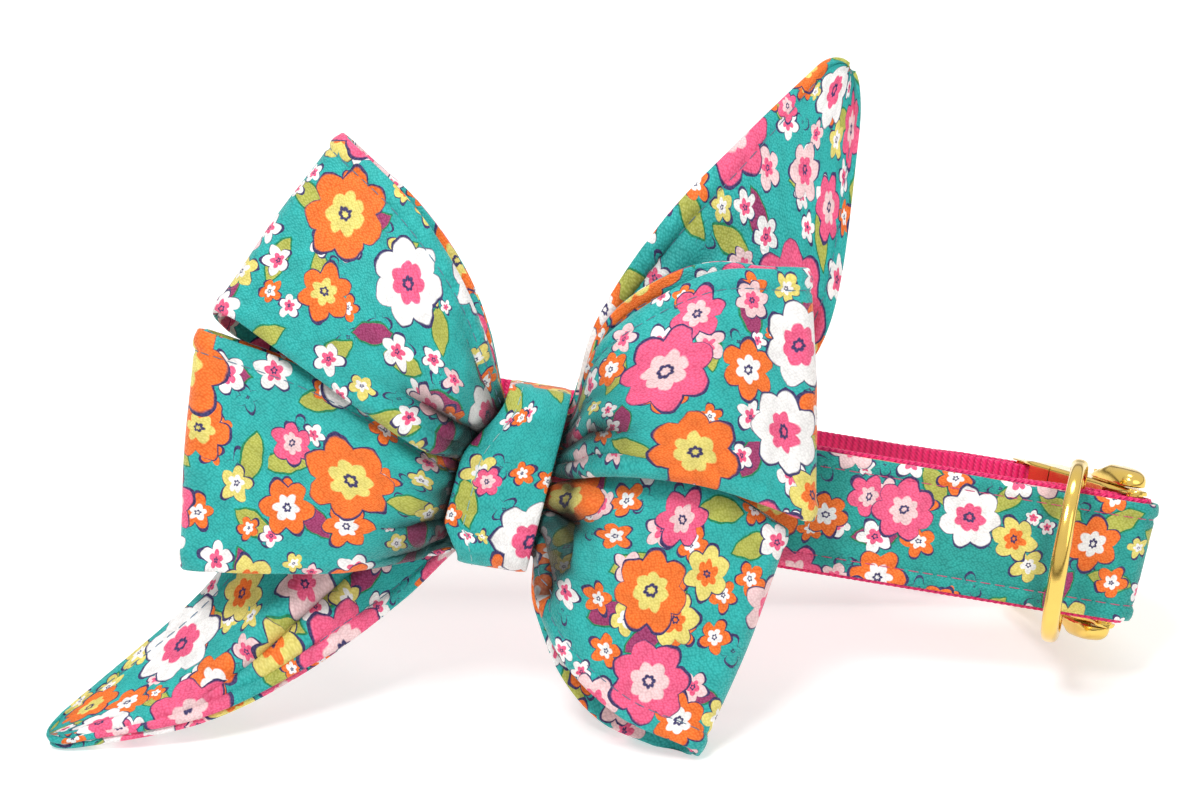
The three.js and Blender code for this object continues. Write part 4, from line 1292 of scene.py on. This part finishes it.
def button(side):
    """A pebble-shaped head beyond the cheek, bent along the buckle, and its shank in the slot."""
    start, long, thick, rise, foot = BUTTON.values()
    points = []
    for k in range(-1, BUTTON_LEVELS):  # the first level is the foot that stands on the cheek
        t = max(k, 0) / (BUTTON_LEVELS - 1) * math.pi / 2
        grow = math.cos(t) ** 0.6 if k >= 0 else 0.95
        up = rise * math.sin(t) ** 0.72 + (foot if k >= 0 else 0)
        up = up * rise / (rise + foot)
        for j in range(BUTTON_SIDES):
            u = 2 * math.pi * j / BUTTON_SIDES
            c, s = math.cos(u), math.sin(u)
            x = start + long / 2 * (1 + grow * math.copysign(abs(c) ** 0.72, c))
            y = thick / 2 * grow * math.copysign(abs(s) ** 0.72, s)
            # the thumb rest falls away behind a crease
            rest = ease(x, start + 9.6, start + 10.4)
            fall = 0.25 + 0.75 * ease(x, start + 10, start + long + 2)
            dip = up * 0.8 * rest * fall
            points.append((x, y, side * (BUCKLE_HALF + 0.3 + up - dip)))
    faces = [*tube(BUTTON_LEVELS + 1, BUTTON_SIDES), list(range(BUTTON_SIDES))[::-1]]
    head = (on_buckle(*np.array(points).T), faces if side > 0 else [face[::-1] for face in faces])
    heights = sorted((side * SHANK[3], side * (BUCKLE_HALF + 1.8)))
    a, o, z, box = cage((breaks(*SHANK[:2]), np.array([-SHANK[2], SHANK[2]]), np.array(heights)))
    return together(head, (on_buckle(a, o, z), box))


def cast_piece(name, shape, gold):
    """A piece of the buckle, its sharp edges rounded as casting and tumbling do."""
    points, faces = shape
    piece = new_piece(name + "_cast", twist(points), faces, gold, nodes=[name], slot="gold_aluminium")
    close_doubles(piece)
    bevel = piece.modifiers.new("Cast edges", "BEVEL")
    bevel.width, bevel.segments, bevel.limit_method = CAST_EDGE, 3, "ANGLE"
    bevel.angle_limit = math.radians(38)
    even = piece.modifiers.new("Even shading", "WEIGHTED_NORMAL")
    even.keep_sharp = True


class COLLAR_OT_buckle(Operator):
    """Builds the fastened side-release buckle: socket, tongue and two release buttons"""

    bl_idname = "collar.buckle"
    bl_label = "Buckle"

    def execute(self, context):
        metal = context.scene.bow_collar_metal
        gold = made("Gold, cast and polished", gold_metal, metal)
        first = -BAR_RADIUS - BAR_END

        def socket(a, o, z):
            cut = (a < WINDOW) & (abs(z) < STRAP_ROOM)
            cut |= (a > WINDOW + BRIDGE) & (abs(o) < MOUTH) & (abs(z) < MOUTH_HALF)
            cut |= (a > SHANK[0] - SLACK) & (a < SHANK[1] + SLACK) & (abs(o) < MOUTH)
            return ~cut

        def tongue(a, o, z):
            return ~((a > BUCKLE_LENGTH - WINDOW) & (abs(z) < STRAP_ROOM))

        body = buckle_half(socket, first, SOCKET_END, True)
        bar = rod(FRONT_BAR, BUCKLE_HALF - 0.5, BAR_RADIUS)
        cast_piece("buckle_socket", together(body, bar), gold)
        body = buckle_half(tongue, SOCKET_END + 0.3, BUCKLE_LENGTH - first, False)
        spans = (breaks(WINDOW + 3.6, SOCKET_END + 3), np.array([-PLATE, PLATE]))
        a, o, z, faces = cage((*spans, np.array([-PLATE_HALF, 0, PLATE_HALF])))
        bar = rod(BACK_BAR, STRAP_ROOM, BAR_RADIUS)
        cast_piece("buckle_tongue", together(body, (on_buckle(a, o, z), faces), bar), gold)
        for side, name in ((1, "buckle_button_upper"), (-1, "buckle_button_lower")):
            cast_piece(name, button(side), gold)
        return {"FINISHED"}


# The leash ring, in millimetres from its straight bar
RING_HALF = 33.4 / 2  # half height, between the rod's middles
RING_REACH = 18.5
RING_CORNER = 3
RING_LEAN = math.radians(9)
RING_SQUARE = 0.8  # power that makes the rod's section squarer than a circle
RING_SLIM = 0.2  # how much slimmer it gets towards the top


def bezier(a, b, c, d, count):
    t = np.linspace(0, 1, count, endpoint=False)[:, None]
    a, b, c, d = (np.array(p) for p in (a, b, c, d))
    return (1 - t) ** 3 * a + 3 * (1 - t) ** 2 * t * b + 3 * (1 - t) * t * t * c + t**3 * d


def ring_path():
    """Points (out from the bar, up) round the D of the ring, its bar first."""
    half, reach, corner, bend = RING_HALF, RING_REACH, RING_CORNER, RING_CORNER * 0.35
    low, high = (0, corner - half), (0, half - corner)
    top = [(reach * 0.75, half), (reach, half * 0.62), (reach, 0)]
    return np.concatenate([
        np.linspace(low, high, 40, endpoint=False),
        bezier(high, (0, half - bend), (bend, half), (corner, half), 16),
        bezier((corner, half), *top, 50),
        bezier(*[(x, -z) for x, z in reversed(top)], (corner, -half), 50),
        bezier((corner, -half), (bend, -half), (0, bend - half), low, 16),
    ])


class COLLAR_OT_leash_ring(Operator):
    """Builds the leash ring: a straight bar inside the strap's fold and a rounded bow in front of it"""

    bl_idname = "collar.leash_ring"
    bl_label = "Leash Ring"

    def execute(self, context):
        metal = context.scene.bow_collar_metal
        path = ring_path()
        run = unit(onward(path, True))
        a = np.linspace(0, 2 * math.pi, metal.sides, endpoint=False)
        slim = 1 - RING_SLIM * ease(path[:, 1:2], -4, RING_HALF) * ease(path[:, :1], 2, 6)
        radius = metal.rod * MM / 2
        x, out = (np.sign(d) * abs(d) ** RING_SQUARE * radius * slim for d in (np.sin(a), np.cos(a)))
        y = -(path[:, :1] - run[:, 1:2] * out)
        z = path[:, 1:2] + run[:, 0:1] * out
        lean = (math.cos(RING_LEAN), math.sin(RING_LEAN))
        turned = np.stack([x * lean[0] + y * lean[1], y * lean[0] - x * lean[1], z], axis=2)
        points = turned.reshape(-1, 3) + RING_AT
        faces = [face[::-1] for face in tube(*z.shape, closed=True)]
        gold = made("Gold, cast and polished", gold_metal, metal)
        ring = {"body": "ring", "nodes": ["leash_ring"], "slot": "gold_plated_brass"}
        new_piece("leash_ring_cast", points, faces, gold, **ring)
        return {"FINISHED"}


# The stage, in metres
FLOOR_HALF = 6
WALLS = ((0.0, "#E8E5E0"), (0.12, "#5A554E"), (0.2, "#F0EDE8"), (1.0, "#FFFFFF"))  # upwards
WALL_LIGHT = (0.52, 0.95)  # how bright the walls light the cloth, and how bright metal mirrors them
PAPER = "#EDECEA"
LAMPS = {  # place, size, and power as a share of the key light's setting
    "key": ((-0.35, -0.55, 1.3), 0.45, 1.6),
    "fill": ((0.9, -0.8, 0.7), 0.8, 0.3),
    "top": ((0.15, 0.4, 1.3), 0.6, 0.75),
}
LAMP_AIM = Vector((0, 0, 0.05))
VIEW_RIGHT, VIEW_UP = 0.01782, 0.01168  # of the view's middle, from the collar frame's origin


def studio():
    """A world of pale walls round the light table, with plain pale paper behind the collar."""
    world = bpy.data.worlds.new("Studio")
    world.use_nodes = True
    tree = world.node_tree
    tree.nodes.clear()
    # the walls darken towards the horizon, which gives the metal its dark bands
    at = add(tree, "ShaderNodeTexCoord").outputs["Generated"]
    level = add(tree, "ShaderNodeSeparateXYZ", {0: at}).outputs["Z"]
    stops = [(height, srgb(code)) for height, code in WALLS]
    walls = add(tree, "ShaderNodeValToRGB", {0: level}, stops=stops)
    rays = add(tree, "ShaderNodeLightPath").outputs
    # polished metal mirrors the walls bright, while less of their light gets to the cloth
    bright = spread(tree, rays["Is Glossy Ray"], to=WALL_LIGHT)
    sky = add(tree, "ShaderNodeBackground", {"Color": walls, "Strength": bright})
    # only the camera sees the paper
    paper = add(tree, "ShaderNodeBackground", {"Color": srgb(PAPER)})
    seen = add(tree, "ShaderNodeMixShader", {0: rays["Is Camera Ray"], 1: sky, 2: paper})
    add(tree, "ShaderNodeOutputWorld", {"Surface": seen})
    return world


class COLLAR_OT_stage(Operator):
    """Builds the floor, the soft lights and the camera"""

    bl_idname = "collar.stage"
    bl_label = "Stage"

    def execute(self, context):
        scene, stage = context.scene, context.scene.bow_collar_stage
        mesh = bpy.data.meshes.new("floor")
        corners = [(x * FLOOR_HALF, y * FLOOR_HALF, 0) for x, y in ((-1, -1), (1, -1), (1, 1), (-1, 1))]
        mesh.from_pydata(corners, [], [(0, 1, 2, 3)])
        mesh.materials.append(made("Light table, opal acrylic", opal_acrylic, stage))
        floor = bpy.data.objects.new("floor", mesh)
        scene.collection.objects.link(floor)
        scene.world = studio()

        for name, (at, size, share) in LAMPS.items():
            data = bpy.data.lights.new(name, "AREA")
            data.shape, data.size, data.energy = "DISK", size, stage.key * share
            lamp = bpy.data.objects.new(name, data)
            lamp.location = at
            lamp.rotation_euler = (LAMP_AIM - lamp.location).to_track_quat("-Z", "Y").to_euler()
            scene.collection.objects.link(lamp)

        height = stage.height
        back = Vector((0, -math.cos(height), math.sin(height)))
        up = back.cross(Vector((1, 0, 0)))
        middle = Vector(ORIGIN / MM) + Vector((VIEW_RIGHT, 0, 0)) + up * VIEW_UP
        data = bpy.data.cameras.new("camera")
        data.lens, data.sensor_width = stage.lens, 36
        camera = bpy.data.objects.new("camera", data)
        camera.location = middle + back * stage.distance
        camera.rotation_euler = (math.pi / 2 - height, 0, 0)
        scene.collection.objects.link(camera)
        scene.camera = camera
        scene.view_settings.view_transform = "Standard"
        return {"FINISHED"}


GROUPS = {
    "cotton": BowCollarCotton,
    "strap": BowCollarStrap,
    "metal": BowCollarMetal,
    "stage": BowCollarStage,
}
OPERATORS = {
    "stage": COLLAR_OT_stage,
    "bow_loops": COLLAR_OT_bow_loops,
    "bow_tails": COLLAR_OT_bow_tails,
    "knot_band": COLLAR_OT_knot_band,
    "strap": COLLAR_OT_strap,
    "buckle": COLLAR_OT_buckle,
    "leash_ring": COLLAR_OT_leash_ring,
}


class COLLAR_PT_panel(Panel):
    """Bow Collar's operators and settings"""

    bl_label = "Bow Collar"
    bl_idname = "COLLAR_PT_panel"
    bl_space_type = "VIEW_3D"
    bl_region_type = "UI"
    bl_category = "Bow Collar"

    def draw(self, context):
        for name in OPERATORS:
            self.layout.operator("collar." + name)
        for group in GROUPS:
            settings = getattr(context.scene, "bow_collar_" + group)
            box = self.layout.box()
            box.label(text=group.capitalize())
            for name in settings.__annotations__:
                box.prop(settings, name)


CLASSES = (*GROUPS.values(), *OPERATORS.values(), COLLAR_PT_panel)


def register():
    for c in CLASSES:
        bpy.utils.register_class(c)
    for name, group in GROUPS.items():
        setattr(bpy.types.Scene, "bow_collar_" + name, PointerProperty(type=group))


def unregister():
    for name in GROUPS:
        delattr(bpy.types.Scene, "bow_collar_" + name)
    for c in reversed(CLASSES):
        bpy.utils.unregister_class(c)


def main():
    register()
    for name in OPERATORS:
        getattr(bpy.ops.collar, name)()


if __name__ == "__main__":
    main()
